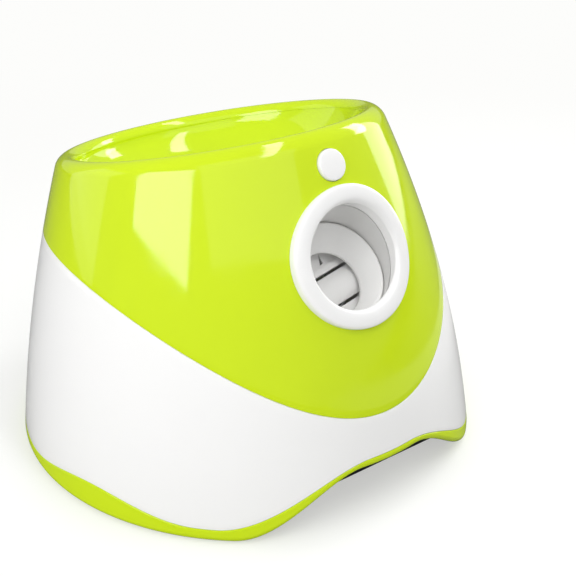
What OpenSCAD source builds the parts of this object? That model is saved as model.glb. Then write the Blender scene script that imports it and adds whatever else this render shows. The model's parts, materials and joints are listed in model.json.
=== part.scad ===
// Automatic dog ball launcher: a free-standing bowl-topped body with an inclined
// barrel, a sprung piston cocked by a rack and a sector gear, and a battery base.
// +Z is up, the muzzle faces -Y, and the origin is on the floor under the body's centre.

/* [Body] */
// Radius of the body near the floor
base_r = 137.5; // [134:0.5:141]
// Height at which the upper radius is measured
neck_z = 157; // [153:1:161]
// Radius of the body at that height
neck_r = 102.5; // [100:0.5:106]
// Outward bulge of the side between the floor and that height
bulge = 4.6; // [3:0.2:6]
// Distance the body leans back by that height
lean = 14.6; // [12:0.2:17]
// Thickness of the moulded shells
wall = 2.6; // [2.2:0.1:3]
// Gap along the seam between two shells
seam_gap = 0.2; // [0.1:0.05:0.3]
// Height of the tongue that lines a seam from inside
tongue_h = 5; // [3:0.5:7]
// Thickness of that tongue
tongue_t = 1.8; // [1.4:0.1:2.2]

/* [Rim] */
// Height of the rim's crest above the point under its centre
rim_z = 176.8; // [174:0.2:180]
// Distance of that point behind the body's centre
rim_y = 26.6; // [24:0.2:29]
// Angle by which the rim falls towards the back
rim_tilt = 14.9; // [12:0.1:16]
// Width of the rolled lip
lip_w = 11; // [9:0.5:13]
// Height of the rolled lip
lip_h = 6; // [5:0.5:7]

/* [Colour seam] */
// Distance of the seam arc's centre behind the body's centre
seam_arc_y = 34.8; // [30:0.2:40]
// Height of the seam arc's centre
seam_arc_z = -103.8; // [-108:0.2:-100]
// Radius of the seam arc, seen from the side
seam_arc_r = 229.8; // [226:0.2:233]

/* [Base] */
// Height of the floor band between its feet
band_low = 8; // [7:0.5:10]
// Extra height of the band over each side foot
band_hump = 8.6; // [6:0.2:11]
// Direction of the side feet, measured from the front
foot_angle = 76; // [70:1:82]
// Height of the arch at the front and back
arch_h = 32; // [28:0.5:35]
// Angle from the arch's middle where it starts to fall
arch_flat = 8; // [6:0.5:10]
// Angle from the arch's middle where it meets the floor
arch_end = 40; // [37:0.5:43]
// Height of the band above the middle of the arch
band_over_arch = 5.5; // [4.5:0.5:7]
// Radius of the band's lower edge
edge_r = 4; // [3:0.5:4.5]
// Width of the band's underside
band_w = 8; // [7:0.5:9]
// Gap between the band and the floor
band_lift = 0.6; // [0.4:0.1:1]
// Height of the underside of the base tray above the floor
tray_z = 3; // [2.5:0.1:3.5]
// Thickness of the base tray
tray_t = 3; // [2.5:0.1:3.5]
// Height of the tray's upright edge
tray_rim_h = 6; // [4:0.5:8]
// Depth of each arch recess, from the body's side inward
recess_depth = 38.5; // [36.5:0.5:40.5]
// Radius of a rubber foot
foot_r = 9; // [7:0.5:10]
// Distance between each rubber foot and the band
foot_gap = 8.5; // [6.5:0.5:10.5]

/* [Muzzle] */
// Height of the muzzle's centre on the body
muzzle_z = 140.9; // [139:0.2:143]
// Upward lean of the muzzle ring's face
ring_tilt = 26; // [24:0.5:28]
// Outer radius of the muzzle ring
ring_r = 38.6; // [38:0.2:40]
// Clearance between the ball and the mouth
mouth_play = 3.2; // [2.6:0.1:3.6]
// Height of the ring's face above the body
ring_h = 3.4; // [2.6:0.1:4.2]
// Radius of the ring's neck inside the body
neck_out_r = 36.5; // [36.3:0.1:37]
// Depth of the ring's neck behind the body's surface
neck_depth = 9; // [8:0.2:9.4]

/* [Launcher] */
// Radius of the ball that it throws
ball_r = 25; // [24.8:0.1:25.2]
// Elevation of the barrel
barrel_angle = 45; // [44:0.5:46]
// Clearance between the ball and the barrel's bore
bore_play = 4.4; // [4.2:0.1:4.8]
// Thickness of the barrel
barrel_t = 2.6; // [2.2:0.1:3]
// Distance along the barrel from the mouth to its rear end
barrel_end = 131; // [130:0.5:133]
// Clearance between the piston cup and the barrel
cup_gap = 0.4; // [0.3:0.05:0.6]
// Distance from the mouth to the cup's lip at rest
cup_rest = 19.5; // [18.5:0.5:20]
// Depth of the cup's tapered seat
seat_depth = 10.5; // [9:0.5:12]
// Radius of the opening below the seat
seat_r = 18.8; // [17.6:0.2:20]
// Offset of that opening towards the barrel's underside
seat_offset = 3.4; // [2:0.2:4.4]
// Depth from the lip to the cup's floor
floor_depth = 17; // [16.5:0.5:18.5]
// Length of the cup with its skirt
cup_len = 48; // [46:0.5:49]
// Width of the rounded bar across the cup's floor
bar_w = 17.4; // [15:0.2:19]
// Height of that bar
bar_h = 3.4; // [2.4:0.2:3.6]
// Offset of the bar towards the barrel's underside
bar_offset = 6.3; // [5:0.1:7]
// Angle of the bar across the cup
bar_angle = 9.5; // [5:0.5:15]
// Width of the slot along each side of the bar
slot_t = 1.9; // [1.4:0.1:2.4]
// Travel of the piston while it is cocked
stroke = 62; // [58:0.5:62]
// Distance from the mouth to the centre line of the feed chute
chute_s = 58; // [57:0.5:59]
// Angle of the chute from the vertical
chute_tilt = 35; // [33:0.5:37]
// Clearance between the ball and the chute
chute_play = 3; // [2:0.2:3.6]
// Height of the chute's top above the barrel's axis
chute_h = 39; // [38.6:0.2:40]

/* [Drive] */
// Module of the rack and the sector gear
rack_m = 1.5; // [1.45:0.05:1.55]
// Teeth that a full sector gear would have
sector_full = 24; // [23:1:25]
// Teeth that the sector gear has
sector_teeth = 14; // [13:1:15]
// Width of the rack
rack_w = 10; // [8:0.5:11]
// Distance of the rack's pitch line below the barrel's axis
rack_drop = 33.5; // [33.4:0.1:33.8]
// Distance from the mouth to the sector gear's centre
sector_s = 82; // [81:0.5:83]
// Radius of the sector gear's shaft
shaft_r = 3; // [2.5:0.1:3.4]
// Running clearance of a shaft in its bore
run_gap = 0.05; // [0.03:0.01:0.08]
// Teeth of each large wheel
wheel_teeth = 42; // [40:1:44]
// Teeth of each small wheel
small_teeth = 14; // [14:1:16]
// Teeth of the motor's pinion
pinion_teeth = 12; // [12:1:13]
// Module of the slow gear pair
slow_m = 1; // [0.9:0.05:1.05]
// Module of the two fast gear pairs
fast_m = 0.8; // [0.7:0.05:0.85]
// Distance of the inner frame plates from the centre
plate_x = 35; // [34.8:0.1:36]
// Thickness of the frame plates
plate_t = 2.5; // [2:0.1:3]
// Space between the two gearbox plates
gear_room = 15.5; // [15:0.1:17]
// Radius of the motor
motor_r = 13.8; // [12:0.1:15]
// Length of the motor
motor_len = 38; // [30:0.5:40]

/* [Controls and power] */
// Height of the button's centre on the body
button_z = 185.4; // [184.6:0.2:186.4]
// Radius of the button
button_r = 8.6; // [8:0.1:9]
// Travel of the button
button_travel = 1.5; // [1:0.1:1.6]
// Radius of a battery cell
cell_r = 13.1; // [12.6:0.1:13.3]
// Length of a battery cell without its pin
cell_len = 48.5; // [47:0.5:49]
// Height of the power inlet on the back
inlet_z = 70; // [64:1:76]
// Bore radius of the power inlet
inlet_r = 2.75; // [2.6:0.05:3.2]

/* [Hidden] */

$fn = 64;
lime = [0.83, 0.93, 0.2];
white = [0.95, 0.95, 0.94];
black = [0.12, 0.12, 0.13];
steel = [0.72, 0.73, 0.75];
around = 96;
tiny = 0.01;
gap = 0.3;
deep = 20;
screw_r = 1.25;
screw_hole_r = 1.45;
frame_head_r = 2.8;

// ---- Outline of the body ----

function mix(a, b, t) = a + (b - a) * t;
function ease(low, high, x) =
    let (t = min(1, max(0, (x - low) / (high - low)))) t * t * (3 - 2 * t);
function rise(z) = max(0, z - edge_r) / (neck_z - edge_r);
function lean_back(z) = lean * (rise(z) + rise(z) * rise(z)) / 2;
// Offset of the body's centre line at a height: none where the arches' edges set the depth
function body_y(z) = lean_back(z) - lean_back(band_lift + arch_h + edge_r);
function body_r(z) =
    let (t = z / neck_z) mix(base_r, neck_r, t) + 4 * bulge * t * (1 - t);
// Point on the body at an angle from the front, some way in from the surface
function skin(a, z, inset = 0) =
    let (r = body_r(z) - inset) [r * sin(a), body_y(z) - r * cos(a), z];
function front_lean(z) = atan((skin(0, z + 1)[1] - skin(0, z - 1)[1]) / 2);

function from_front(a) = abs(((a + 180) % 360 + 360) % 360 - 180);
function arch_z(a) =
    let (b = from_front(a), c = min(b, 180 - b)) arch_h * (1 - ease(arch_flat, arch_end, c));
function hump_z(a) =
    let (b = from_front(a), off = abs(b - foot_angle), wide = 28)
    off < wide ? band_hump * (1 + cos(180 * off / wide)) / 2 : 0;
function band_z(a) =
    let (b = from_front(a), c = min(b, 180 - b), top = arch_h + band_over_arch - band_low)
    band_low + top * (1 - ease(arch_flat - 2, arch_end + 4, c)) + hump_z(a);
function seam_side(y) =
    seam_arc_z + sqrt(seam_arc_r * seam_arc_r - (y - seam_arc_y) * (y - seam_arc_y));
function seam_z(a, z = 90, tries = 12) =
    tries == 0 ? z : seam_z(a, seam_side(skin(a, z)[1]), tries - 1);
crest_inset = 4.2;
function rim_side(y) = rim_z + (rim_y - y) * tan(rim_tilt);
function crest_z(a, z = 176, tries = 12) =
    tries == 0 ? z : crest_z(a, rim_side(skin(a, z, crest_inset)[1]), tries - 1);

// Rolled lip: from the outer skin (0 degrees) over the crest to the bowl (180 degrees)
function lip_point(a, turn, shrink = 0) =
    let (
        low = crest_z(a) - lip_h,
        outer = skin(a, low, shrink),
        inner = skin(a, low, lip_w - shrink),
        middle = (outer + inner) / 2,
        up = (skin(a, low + lip_h) - skin(a, low)) * (lip_h - shrink) / lip_h,
        down = [0, 0, up[2]],
        base = turn > 90 ? middle + up - down : middle
    )
    base + (outer - middle) * cos(turn) + (turn > 90 ? down : up) * sin(turn);

// ---- Frames of the barrel, the ring and the chute ----

mouth_r = ball_r + mouth_play;
bore_r = ball_r + bore_play;
chute_r = ball_r + chute_play;
muzzle = skin(0, muzzle_z);
inward = [0, cos(barrel_angle), -sin(barrel_angle)];
across = [0, sin(barrel_angle), cos(barrel_angle)];
function barrel_point(s, v = 0) = muzzle + inward * s + across * v;
barrel_out_r = bore_r + barrel_t;

// Along the barrel: +Z runs inward from the mouth, +Y points to its underside
module in_barrel() {
    translate(muzzle) rotate([-90 - barrel_angle, 0, 0]) children();
}

// On the ring: +Z points out of the mouth, +Y points up its face
module in_ring() {
    translate(muzzle) rotate([90 - ring_tilt, 0, 0]) children();
}

// In the chute: +Z points up its axis, from the barrel's axis
module in_chute() {
    translate(barrel_point(chute_s)) rotate([-chute_tilt, 0, 0]) children();
}
chute_up = [0, sin(chute_tilt), cos(chute_tilt)];
chute_front = [0, -cos(chute_tilt), sin(chute_tilt)];

// Height of the body's skin over the ring's plane
function ring_skin(x, e, h = 0, tries = 10) =
    tries == 0 ? h :
    let (
        y = muzzle[1] + e * sin(ring_tilt) - h * cos(ring_tilt),
        z = muzzle[2] + e * cos(ring_tilt) + h * sin(ring_tilt),
        surface = body_y(z) - sqrt(body_r(z) * body_r(z) - x * x)
    )
    ring_skin(x, e, h + (y - surface) * cos(ring_tilt), tries - 1);

// ---- Shared shapes ----

// Closed surface through a loop of closed sections
module loop_loft(sections) {
    count = len(sections);
    sides = len(sections[0]);
    points = [for (section = sections) each section];
    faces = [for (i = [0:count - 1]) for (j = [0:sides - 1])
        let (
            k = (i + 1) % count,
            m = (j + 1) % sides
        )
        each [[i * sides + j, i * sides + m, k * sides + m],
            [i * sides + j, k * sides + m, k * sides + j]]];
    polyhedron(points, faces, convexity = 10);
}

// Closed surface through a stack of rings, with flat ends
module ring_stack(rings) {
    last = len(rings) - 1;
    sides = len(rings[0]);
    points = [for (ring = rings) each ring];
    sides_of = [for (i = [0:last - 1]) for (j = [0:sides - 1])
        let (m = (j + 1) % sides)
        each [[i * sides + j, (i + 1) * sides + m, i * sides + m],
            [i * sides + j, (i + 1) * sides + j, (i + 1) * sides + m]]];
    ends = [[for (j = [0:sides - 1]) j], [for (j = [sides - 1:-1:0]) last * sides + j]];
    polyhedron(points, concat(sides_of, ends), convexity = 10);
}

// Round wire along a list of points
module wire(path, r, sides = 8) {
    last = len(path) - 1;
    function ahead(i) = path[min(last, i + 1)] - path[max(0, i - 1)];
    function unit(v) = v / norm(v);
    rings = [for (i = [0:last])
        let (
            t = unit(ahead(i)),
            n = unit(cross(t, abs(t[2]) > 0.8 ? [1, 0, 0] : [0, 0, 1])),
            b = cross(t, n)
        )
        [for (j = [0:sides - 1]) path[i] + r * (n * cos(360 * j / sides) + b * sin(360 * j / sides))]];
    ring_stack(rings);
}

// Coil spring along +Z, standing on z = 0
module coil(r, r_top, height, turns, wire_r, steps = 14) {
    count = turns * steps;
    wire([for (i = [0:count])
        let (t = i / count, a = 360 * i / steps)
        [mix(r, r_top, t) * cos(a), mix(r, r_top, t) * sin(a), wire_r + (height - 2 * wire_r) * t]],
            wire_r, 6);
}

module tube(outer, inner, height) {
    difference() {
        cylinder(r = outer, h = height);
        translate([0, 0, -1]) cylinder(r = inner, h = height + 2);
    }
}

module along_x(y, z, x) {
    translate([x, y, z]) rotate([90, 0, 90]) children();
}

// Pan-head screw: head on z = 0, shank along -Z
module screw(r, length, head_r = 2.8, head_h = 1.8) {
    difference() {
        union() {
            cylinder(r = head_r, h = head_h);
            translate([0, 0, -length]) cylinder(r = r, h = length + tiny);
        }
        for (a = [0, 90]) rotate([0, 0, a])
            translate([-head_r * 0.6, -0.4, head_h / 2]) cube([head_r * 1.2, 0.8, head_h]);
    }
}

// ---- Gears ----

pressure = 20;
addendum = 0.75;
dedendum = 1.25;
tooth_play = 0.16;

function involute_lag(r, base) =
    let (roll = sqrt(max(0, r * r / (base * base) - 1))) roll * 180 / PI - atan(roll);
function polar(r, a) = [r * cos(a), r * sin(a)];
// One tooth, centred on an angle
function tooth(m, teeth, a) =
    let (
        pitch = m * teeth / 2,
        base = pitch * cos(pressure),
        root = pitch - dedendum * m,
        tip = pitch + addendum * m,
        start = max(base, root),
        half = 90 / teeth - tooth_play / 2 / pitch * 180 / PI + involute_lag(pitch, base),
        steps = 3,
        radii = [for (i = [0:steps]) mix(start, tip, i / steps)]
    )
    concat(
        [polar(root, a - half + involute_lag(start, base))],
        [for (r = radii) polar(r, a - half + involute_lag(r, base))],
        [for (i = [steps:-1:0]) polar(radii[i], a + half - involute_lag(radii[i], base))],
        [polar(root, a + half - involute_lag(start, base))]
    );
function gear_outline(m, teeth, turn) =
    [for (i = [0:teeth - 1]) each tooth(m, teeth, turn + 360 * i / teeth)];
function sector_outline(m, full, teeth, turn) =
    let (step = 360 / full, root = m * full / 2 - dedendum * m)
    concat(
        [for (i = [0:teeth - 1]) each tooth(m, full, turn + step * i)],
        [for (i = [teeth:full - 1]) polar(root, turn + step * i)]
    );

// Flat gear along +Z
module gear(m, teeth, turn, width) {
    linear_extrude(width) polygon(gear_outline(m, teeth, turn));
}

sector_r = rack_m * sector_full / 2;
sector = barrel_point(sector_s, -rack_drop - sector_r);
rack_pitch = PI * rack_m;
slow_space = slow_m * (wheel_teeth + small_teeth) / 2;
middle_space = fast_m * (wheel_teeth + small_teeth) / 2;
fast_space = fast_m * (wheel_teeth + pinion_teeth) / 2;
second_dir = 75;
first_dir = 30;
motor_dir = -30;
second = sector + slow_space * [0, cos(second_dir), sin(second_dir)];
first = second + middle_space * [0, cos(first_dir), sin(first_dir)];
motor = first + fast_space * [0, cos(motor_dir), sin(motor_dir)];
axle_r = 1.5;
motor_shaft_r = 1.15;
plate_out = plate_x + plate_t;
far_plate_x = plate_out + gear_room;
layer_1 = plate_out + 1.5;
layer_w = 3.6;
layer_2 = layer_1 + layer_w + 0.8;
layer_3 = layer_2 + layer_w + 0.6;

// ---- Casing ----

tray_top = tray_z + tray_t;
tray_r = body_r(tray_top + tray_rim_h) - band_w - 2 * gap;
recess_top = band_lift + arch_h + tray_t + 1;
recess_r = body_r(recess_top) - band_w - 2 * gap;
tray_rim_t = 2.5;
post_r = 3;
post_hole_r = 1;
foot_seat = 0.4;
boss_angles = [48, 132, 228, 312];
boss_top = 47;
boss_rib_h = 8;
rib_t = 2;
case_screw_r = 1.6;
case_hole_r = case_screw_r + 0.2;
case_head_r = 2.8;
boss_r = 4.5;
foot_angles = [62, 118, 242, 298];
board_inset = 29.5;
board_x = board_inset - base_r;
board_y = -38;
board_w = 44;
board_len = 76;
board_z = tray_top + 8;
board_posts = [[4, 4], [board_w - 4, 4], [4, board_len - 4], [board_w - 4, board_len - 4]];
foot_flange = 12;
foot_end = 6;

base_y = body_y(0);
recess_y = base_r - recess_depth;
foot_pos_r = base_r - band_w - foot_r - foot_gap;
row_step = 2 * cell_r + 0.5;
cell_z = tray_top + cell_r + 0.1;
pin_len = 1.6;
spring_room = 4.1;
box_t = 2;
box_x = cell_len + 1.5 * pin_len + spring_room + box_t;
box_w = 2 * row_step + 2 * cell_r + 1 + 2 * box_t;
box_y = base_y + recess_y - tray_t - gap - box_w;
box_top = cell_z + cell_r + gap + box_t;
row_y = box_y + box_w / 2;
door_x = box_x - box_t - 2.5;
door_w = box_w - 2 * box_t - 1;
door_y = row_y - door_w / 2;
door_screw_y = door_y + door_w + 2;
function spot(a, r) = [r * sin(a), base_y - r * cos(a), 0];
function level(p, z) = [p[0], p[1], z];
boss_reach_z = boss_top - boss_rib_h;
boss_inset = wall + 12;
function boss_spot(a) = level(skin(a, boss_top, boss_inset), 0);

// Arch outline seen from the front, some way above the opening
function arch_line(rise) = [for (a = [-arch_end:2:arch_end]) [base_r * sin(a),
    band_lift + arch_z(a) + rise]];

module recess_room() {
    room = concat([[-base_r, -1]], arch_line(0.3), [[base_r, -1]]);
    for (side = [0, 180]) translate([0, base_y, 0]) rotate([0, 0, side])
        translate([0, -recess_y, 0]) rotate([90, 0, 0]) linear_extrude(base_r) polygon(room);
}

module recess_shell() {
    shell = concat([[-arch_end * 2.2, tray_z]], arch_line(tray_t + 0.3), [[arch_end * 2.2, tray_z]]);
    for (side = [0, 180]) translate([0, base_y, 0]) rotate([0, 0, side])
        translate([0, -recess_y + tray_t, 0]) rotate([90, 0, 0]) linear_extrude(base_r) polygon(shell);
}

module base_tray() {
    color(black) difference() {
        union() {
            translate([0, base_y, tray_z]) cylinder(r = tray_r, h = tray_t, $fn = 128);
            translate([0, base_y, tray_z]) difference() {
                cylinder(r = tray_r, h = tray_t + tray_rim_h, $fn = 128);
                translate([0, 0, -1]) cylinder(r = tray_r - tray_rim_t, h = 2 * deep, $fn = 128);
            }
            intersection() {
                recess_shell();
                translate([0, body_y(recess_top), 0]) cylinder(r = recess_r, h = 3 * deep, $fn = 128);
            }
            for (post = board_posts)
                translate([board_x + post[0], board_y + post[1], tray_top - tiny])
                    cylinder(r = post_r, h = board_z - tray_top);
        }
        recess_room();
        translate([-door_x, door_y, 0]) cube([2 * door_x, door_w, deep]);
        for (a = boss_angles) translate(boss_spot(a)) cylinder(r = case_hole_r, h = deep);
        for (a = boss_angles) translate(boss_spot(a)) cylinder(r = case_head_r + 0.6, h = tray_z + 1);
        for (a = foot_angles) translate(spot(a, foot_pos_r)) cylinder(r = foot_r, h = tray_z + foot_seat);
        for (side = [-1, 1]) for (y = plate_feet_y)
            translate([side * foot_screw_x, y, 0]) cylinder(r = screw_r, h = deep);
        translate([0, door_screw_y, 0]) cylinder(r = screw_r, h = tray_top);
        for (post = board_posts)
            translate([board_x + post[0], board_y + post[1], tray_top]) cylinder(r = post_hole_r, h = deep);
    }
}
foot_screw_x = plate_x - foot_flange / 2;

module rubber_feet() {
    color(black) for (a = foot_angles) translate(spot(a, foot_pos_r)) {
        cylinder(r = foot_r - 1, h = 1);
        translate([0, 0, 1]) cylinder(r = foot_r, h = tray_z + foot_seat - 1);
    }
}

module base_band() {
    join = wall + seam_gap;
    color(lime) loop_loft([for (i = [0:around - 1])
        let (
            a = 360 * i / around,
            low = band_lift + arch_z(a),
            high = band_z(a)
        )
        concat(
            [skin(a, low, band_w)],
            [for (turn = [0:30:90]) skin(a, low + edge_r * (1 - cos(turn)), edge_r * (1 - sin(turn)))],
            [skin(a, mix(low + edge_r, high, 0.5))],
            [skin(a, high), skin(a, high, join), skin(a, high + tongue_h, join)],
            [skin(a, high + tongue_h, join + tongue_t), skin(a, high - 1, join + tongue_t)],
            [skin(a, mix(low, high, 0.5), band_w)]
        )]);
}

link_angles = [62, 118, 242, 298];
link_r = 4.2;
link_pos = 10;
link_depth = 8;
link_t = 4;
link_tall = 26;
function link_spot(a) = skin(a, seam_z(a), wall + link_pos);

module lower_shell() {
    join = wall + seam_gap;
    color(white) difference() {
        union() {
            loop_loft([for (i = [0:around - 1])
                let (
                    a = 360 * i / around,
                    low = band_z(a) + seam_gap,
                    high = seam_z(a)
                )
                concat(
                    [for (t = [0:0.2:1]) skin(a, mix(low, high, t))],
                    [skin(a, high, join), skin(a, high + tongue_h, join)],
                    [skin(a, high + tongue_h, join + tongue_t), skin(a, high - 5, join + tongue_t)],
                    [for (t = [0.8, 0.4, 0]) skin(a, mix(low, high, t), wall)]
                )]);
            for (a = boss_angles) {
                translate(level(boss_spot(a), tray_top + seam_gap))
                    cylinder(r = boss_r, h = boss_top - tray_top - seam_gap);
                translate([0, body_y(boss_top), boss_reach_z]) rotate([0, 0, a])
                    translate([-rib_t / 2, -body_r(boss_top) + wall / 2, 0])
                        cube([rib_t, boss_inset - wall / 2, boss_rib_h]);
            }
            for (a = link_angles) link_lug(a);
        }
        for (a = boss_angles) translate(boss_spot(a)) cylinder(r = case_screw_r, h = 1.5 * deep);
        for (a = link_angles) translate(link_spot(a) - [0, 0, 1.5 * deep])
            cylinder(r = case_hole_r, h = 2 * deep);
        translate(skin(180, inlet_z) - [0, deep, 0]) rotate([-90, 0, 0])
            cylinder(r = inlet_neck_r, h = 2 * deep);
    }
}
inlet_neck_r = 6.2;

// Shelf inside the lower shell that takes the upper shell's screw
module link_lug(a) {
    place = link_spot(a);
    top = place[2] - link_depth;
    reach = norm([place[0], place[1] - body_y(top)]);
    shelf = body_r(top) - wall / 2 - reach;
    translate([0, body_y(top), top - link_t]) rotate([0, 0, a]) {
        translate([0, -reach, 0]) cylinder(r = link_r + 1, h = link_t);
        translate([-link_r - 1, -reach - shelf, 0]) cube([2 * link_r + 2, shelf, link_t]);
    }
}

module link_boss(a) {
    place = link_spot(a);
    rib_h = link_tall - link_depth - 1;
    high = place[2] + link_tall - link_depth;
    reach = norm([place[0], place[1] - body_y(place[2])]);
    translate([0, body_y(place[2]), place[2] - link_depth + seam_gap]) rotate([0, 0, a]) {
        translate([0, -reach, 0]) cylinder(r = link_r, h = link_tall);
        translate([-rib_t / 2, -body_r(high) + wall / 2, rib_h])
            cube([rib_t, body_r(high) - wall / 2 - reach, link_tall - rib_h]);
    }
}

module upper_shell() {
    color(lime) difference() {
        union() {
            loop_loft([for (i = [0:around - 1])
                let (
                    a = 360 * i / around,
                    low = seam_z(a) + seam_gap,
                    high = crest_z(a) - lip_h
                )
                concat(
                    [for (t = [0:0.2:0.8]) skin(a, mix(low, high, t))],
                    [for (turn = [0:30:180]) lip_point(a, turn)],
                    [for (turn = [180:-45:0]) lip_point(a, turn, wall - 0.4)],
                    [for (t = [0.75:-0.25:0]) skin(a, mix(low, high, t), wall)]
                )]);
            for (a = link_angles) link_boss(a);
        }
        in_ring() translate([0, 0, -25]) cylinder(r = neck_out_r + gap, h = 2 * deep);
        in_button() translate([0, 0, -12]) cylinder(r = button_r + gap, h = 24);
        for (a = link_angles) translate(link_spot(a) - [0, 0, 1.5 * deep])
            cylinder(r = case_screw_r, h = 2 * deep);
    }
}

// ---- Hopper and muzzle ----

throat_rise = chute_h + seam_gap;
function throat_point(a, r) =
    barrel_point(chute_s) + chute_up * throat_rise + [r * sin(a), 0, 0] + chute_front * (r * cos(a));
function bowl_point(a, t) =
    let (
        p0 = lip_point(a, 180) - [0, 0, seam_gap],
        p3 = throat_point(a, chute_r),
        depth = p0[2] - p3[2],
        p1 = [mix(p0[0], p3[0], 0.14), mix(p0[1], p3[1], 0.14), p0[2] - 0.5 * depth],
        p2 = [mix(p3[0], p0[0], 0.42), mix(p3[1], p0[1], 0.42), p3[2] + 0.2 * depth],
        u = 1 - t
    )
    p0 * u * u * u + p1 * 3 * u * u * t + p2 * 3 * u * t * t + p3 * t * t * t;
bowl_t = 1.9;
function bowl_back(a, t) =
    bowl_point(a, t) + [sin(a) * bowl_t, -cos(a) * bowl_t, -bowl_t * (1 - pow(t, 6))];

module hopper_funnel() {
    steps = 9;
    color(lime) loop_loft([for (i = [0:around - 1])
        let (a = 360 * i / around)
        concat(
            [throat_point(a, chute_r + bowl_t)],
            [for (k = [steps - 1:-1:1]) bowl_back(a, k / steps)],
            [bowl_point(a, 0) + [sin(a) * bowl_t, -cos(a) * bowl_t, 0]],
            [for (k = [0:steps]) bowl_point(a, k / steps)]
        )]);
}

module muzzle_ring() {
    wrap = 0.75;
    face = [[ring_r, 1], [ring_r - 0.8, ring_h - 0.8], [ring_r - 2.4, ring_h],
        [mouth_r + 3.4, ring_h], [mouth_r + 1.2, ring_h - 0.8], [mouth_r, 0.6]];
    back = 0.15;
    segments = 64;
    function at(r, t, h) = [r * cos(t), r * sin(t), h];
    function seat(r, t) = ring_skin(r * cos(t), r * sin(t));
    color(white) difference() {
        in_ring() loop_loft([for (i = [0:segments - 1])
            let (t = 360 * i / segments)
            concat(
                [at(ring_r, t, seat(ring_r, t) + back)],
                [for (p = face) at(p[0], t, wrap * seat(p[0], t) + p[1])],
                [at(mouth_r, t, -neck_depth), at(neck_out_r, t, -neck_depth)],
                [at(neck_out_r, t, seat(neck_out_r, t) + back)]
            )]);
        intersection() {
            in_barrel() cylinder(r = bore_r + cup_gap, h = 60);
            in_ring() translate([-60, -60, -42]) cube([120, 120, 40]);
        }
    }
}

// ---- Barrel, chute and piston ----

cup_r = bore_r - cup_gap;
cup_wall = 2.5;
cup_floor_t = 3;
slot_w = rack_w + 2;
lug_s = [36, 108];
lug_r = 6;
cap_skirt = 10;
cap_t = 3;
cap_wall = 2.4;
spring_guide_r = 12;
rack_top = 27.5;
rack_tip = rack_drop + addendum * rack_m;
rack_root = rack_drop - dedendum * rack_m;
rack_rear = sector_s + 0.5 * rack_pitch;
rack_front = rack_rear - (sector_teeth - 1) * rack_pitch;

module barrel_tube() {
    color(white) difference() {
        union() {
            in_barrel() translate([0, 0, -30]) cylinder(r = barrel_out_r, h = barrel_end + 30);
            in_barrel() for (s = lug_s) translate([-plate_x + 0.1, 0, s])
                rotate([0, 90, 0]) cylinder(r = lug_r, h = 2 * plate_x - 0.2);
        }
        in_barrel() translate([0, 0, -31]) cylinder(r = bore_r, h = barrel_end + 40);
        in_barrel() translate([-slot_w / 2, 20, rack_front - rack_pitch]) cube([slot_w, 20, barrel_end]);
        in_barrel() for (s = lug_s) translate([-plate_x - 1, 0, s])
            rotate([0, 90, 0]) cylinder(r = screw_r, h = 2 * plate_x + 2);
        in_chute() cylinder(r = chute_r, h = 60);
        in_ring() translate([-60, -60, -neck_depth - gap]) cube([120, 120, 60]);
    }
}

module barrel_cap() {
    color(white) in_barrel() difference() {
        union() {
            translate([0, 0, barrel_end + gap]) cylinder(r = barrel_out_r + cap_wall, h = cap_t);
            translate([0, 0, barrel_end - cap_skirt])
                cylinder(r = barrel_out_r + cap_wall, h = cap_skirt + 1);
        }
        translate([0, 0, barrel_end - cap_skirt - 1])
            cylinder(r = barrel_out_r + 0.1, h = cap_skirt + 1 + gap);
        translate([-slot_w / 2, rack_top - 1, barrel_end - 40]) cube([slot_w, 20, 60]);
    }
    color(white) in_barrel() translate([0, 0, barrel_end - 7])
        cylinder(r = spring_guide_r, h = 7 + gap + tiny);
}

module ball_chute() {
    window_w = lever_w + 1.2;
    color(white) difference() {
        in_chute() difference() {
            union() {
                cylinder(r = chute_r + chute_t, h = chute_h);
                translate([0, 0, chute_h - chute_flange_t])
                    cylinder(r = chute_r + chute_flange_w, h = chute_flange_t);
                for (side = [-1, 1]) translate([-switch_out, side > 0 ? ear_from : -ear_from - ear_t,
                    lever_z - switch_low])
                    cube([switch_out - chute_r - 1, ear_t, switch_h]);
            }
            translate([0, 0, -1]) cylinder(r = chute_r, h = chute_h + 2);
            translate([-chute_r - 4, -window_w / 2, lever_z + 2]) cube([10, window_w, lever_top + 3]);
            translate([-lever_x, -deep / 2, lever_z]) rotate([-90, 0, 0])
                cylinder(r = lever_pin_r, h = deep);
        }
        in_barrel() cylinder(r = barrel_out_r + gap, h = barrel_end);
    }
}
chute_t = 2.4;
chute_flange_t = 2;
chute_flange_w = 5.6;
ear_t = 1.8;
ear_from = 3.6;
switch_out = 47;
switch_in = 39.4;
switch_w = 6.8;
switch_low = 4;
switch_h = 18;
switch_pitch = 10;
lever_x = 35.2;
lever_z = 20.5;
lever_pin_r = 1;
lever_w = 4;
lever_t = 0.8;
lever_hub_r = 2.1;
lever_hub_w = 6.4;
lever_low = 7;
lever_top = 10;
lever_reach = 4;

module ball_switch() {
    color(black) in_chute() {
        difference() {
            translate([-switch_out, -switch_w / 2, lever_z - switch_low])
                cube([switch_out - switch_in, switch_w, switch_h]);
            for (z = [0, switch_pitch]) translate([-(switch_out + switch_in) / 2, -5, lever_z + z])
                rotate([-90, 0, 0]) cylinder(r = 1, h = 10);
        }
        translate([-switch_in - 0.2, -0.8, lever_z + 4.5]) cube([0.9, 1.6, 2]);
    }
}

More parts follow.
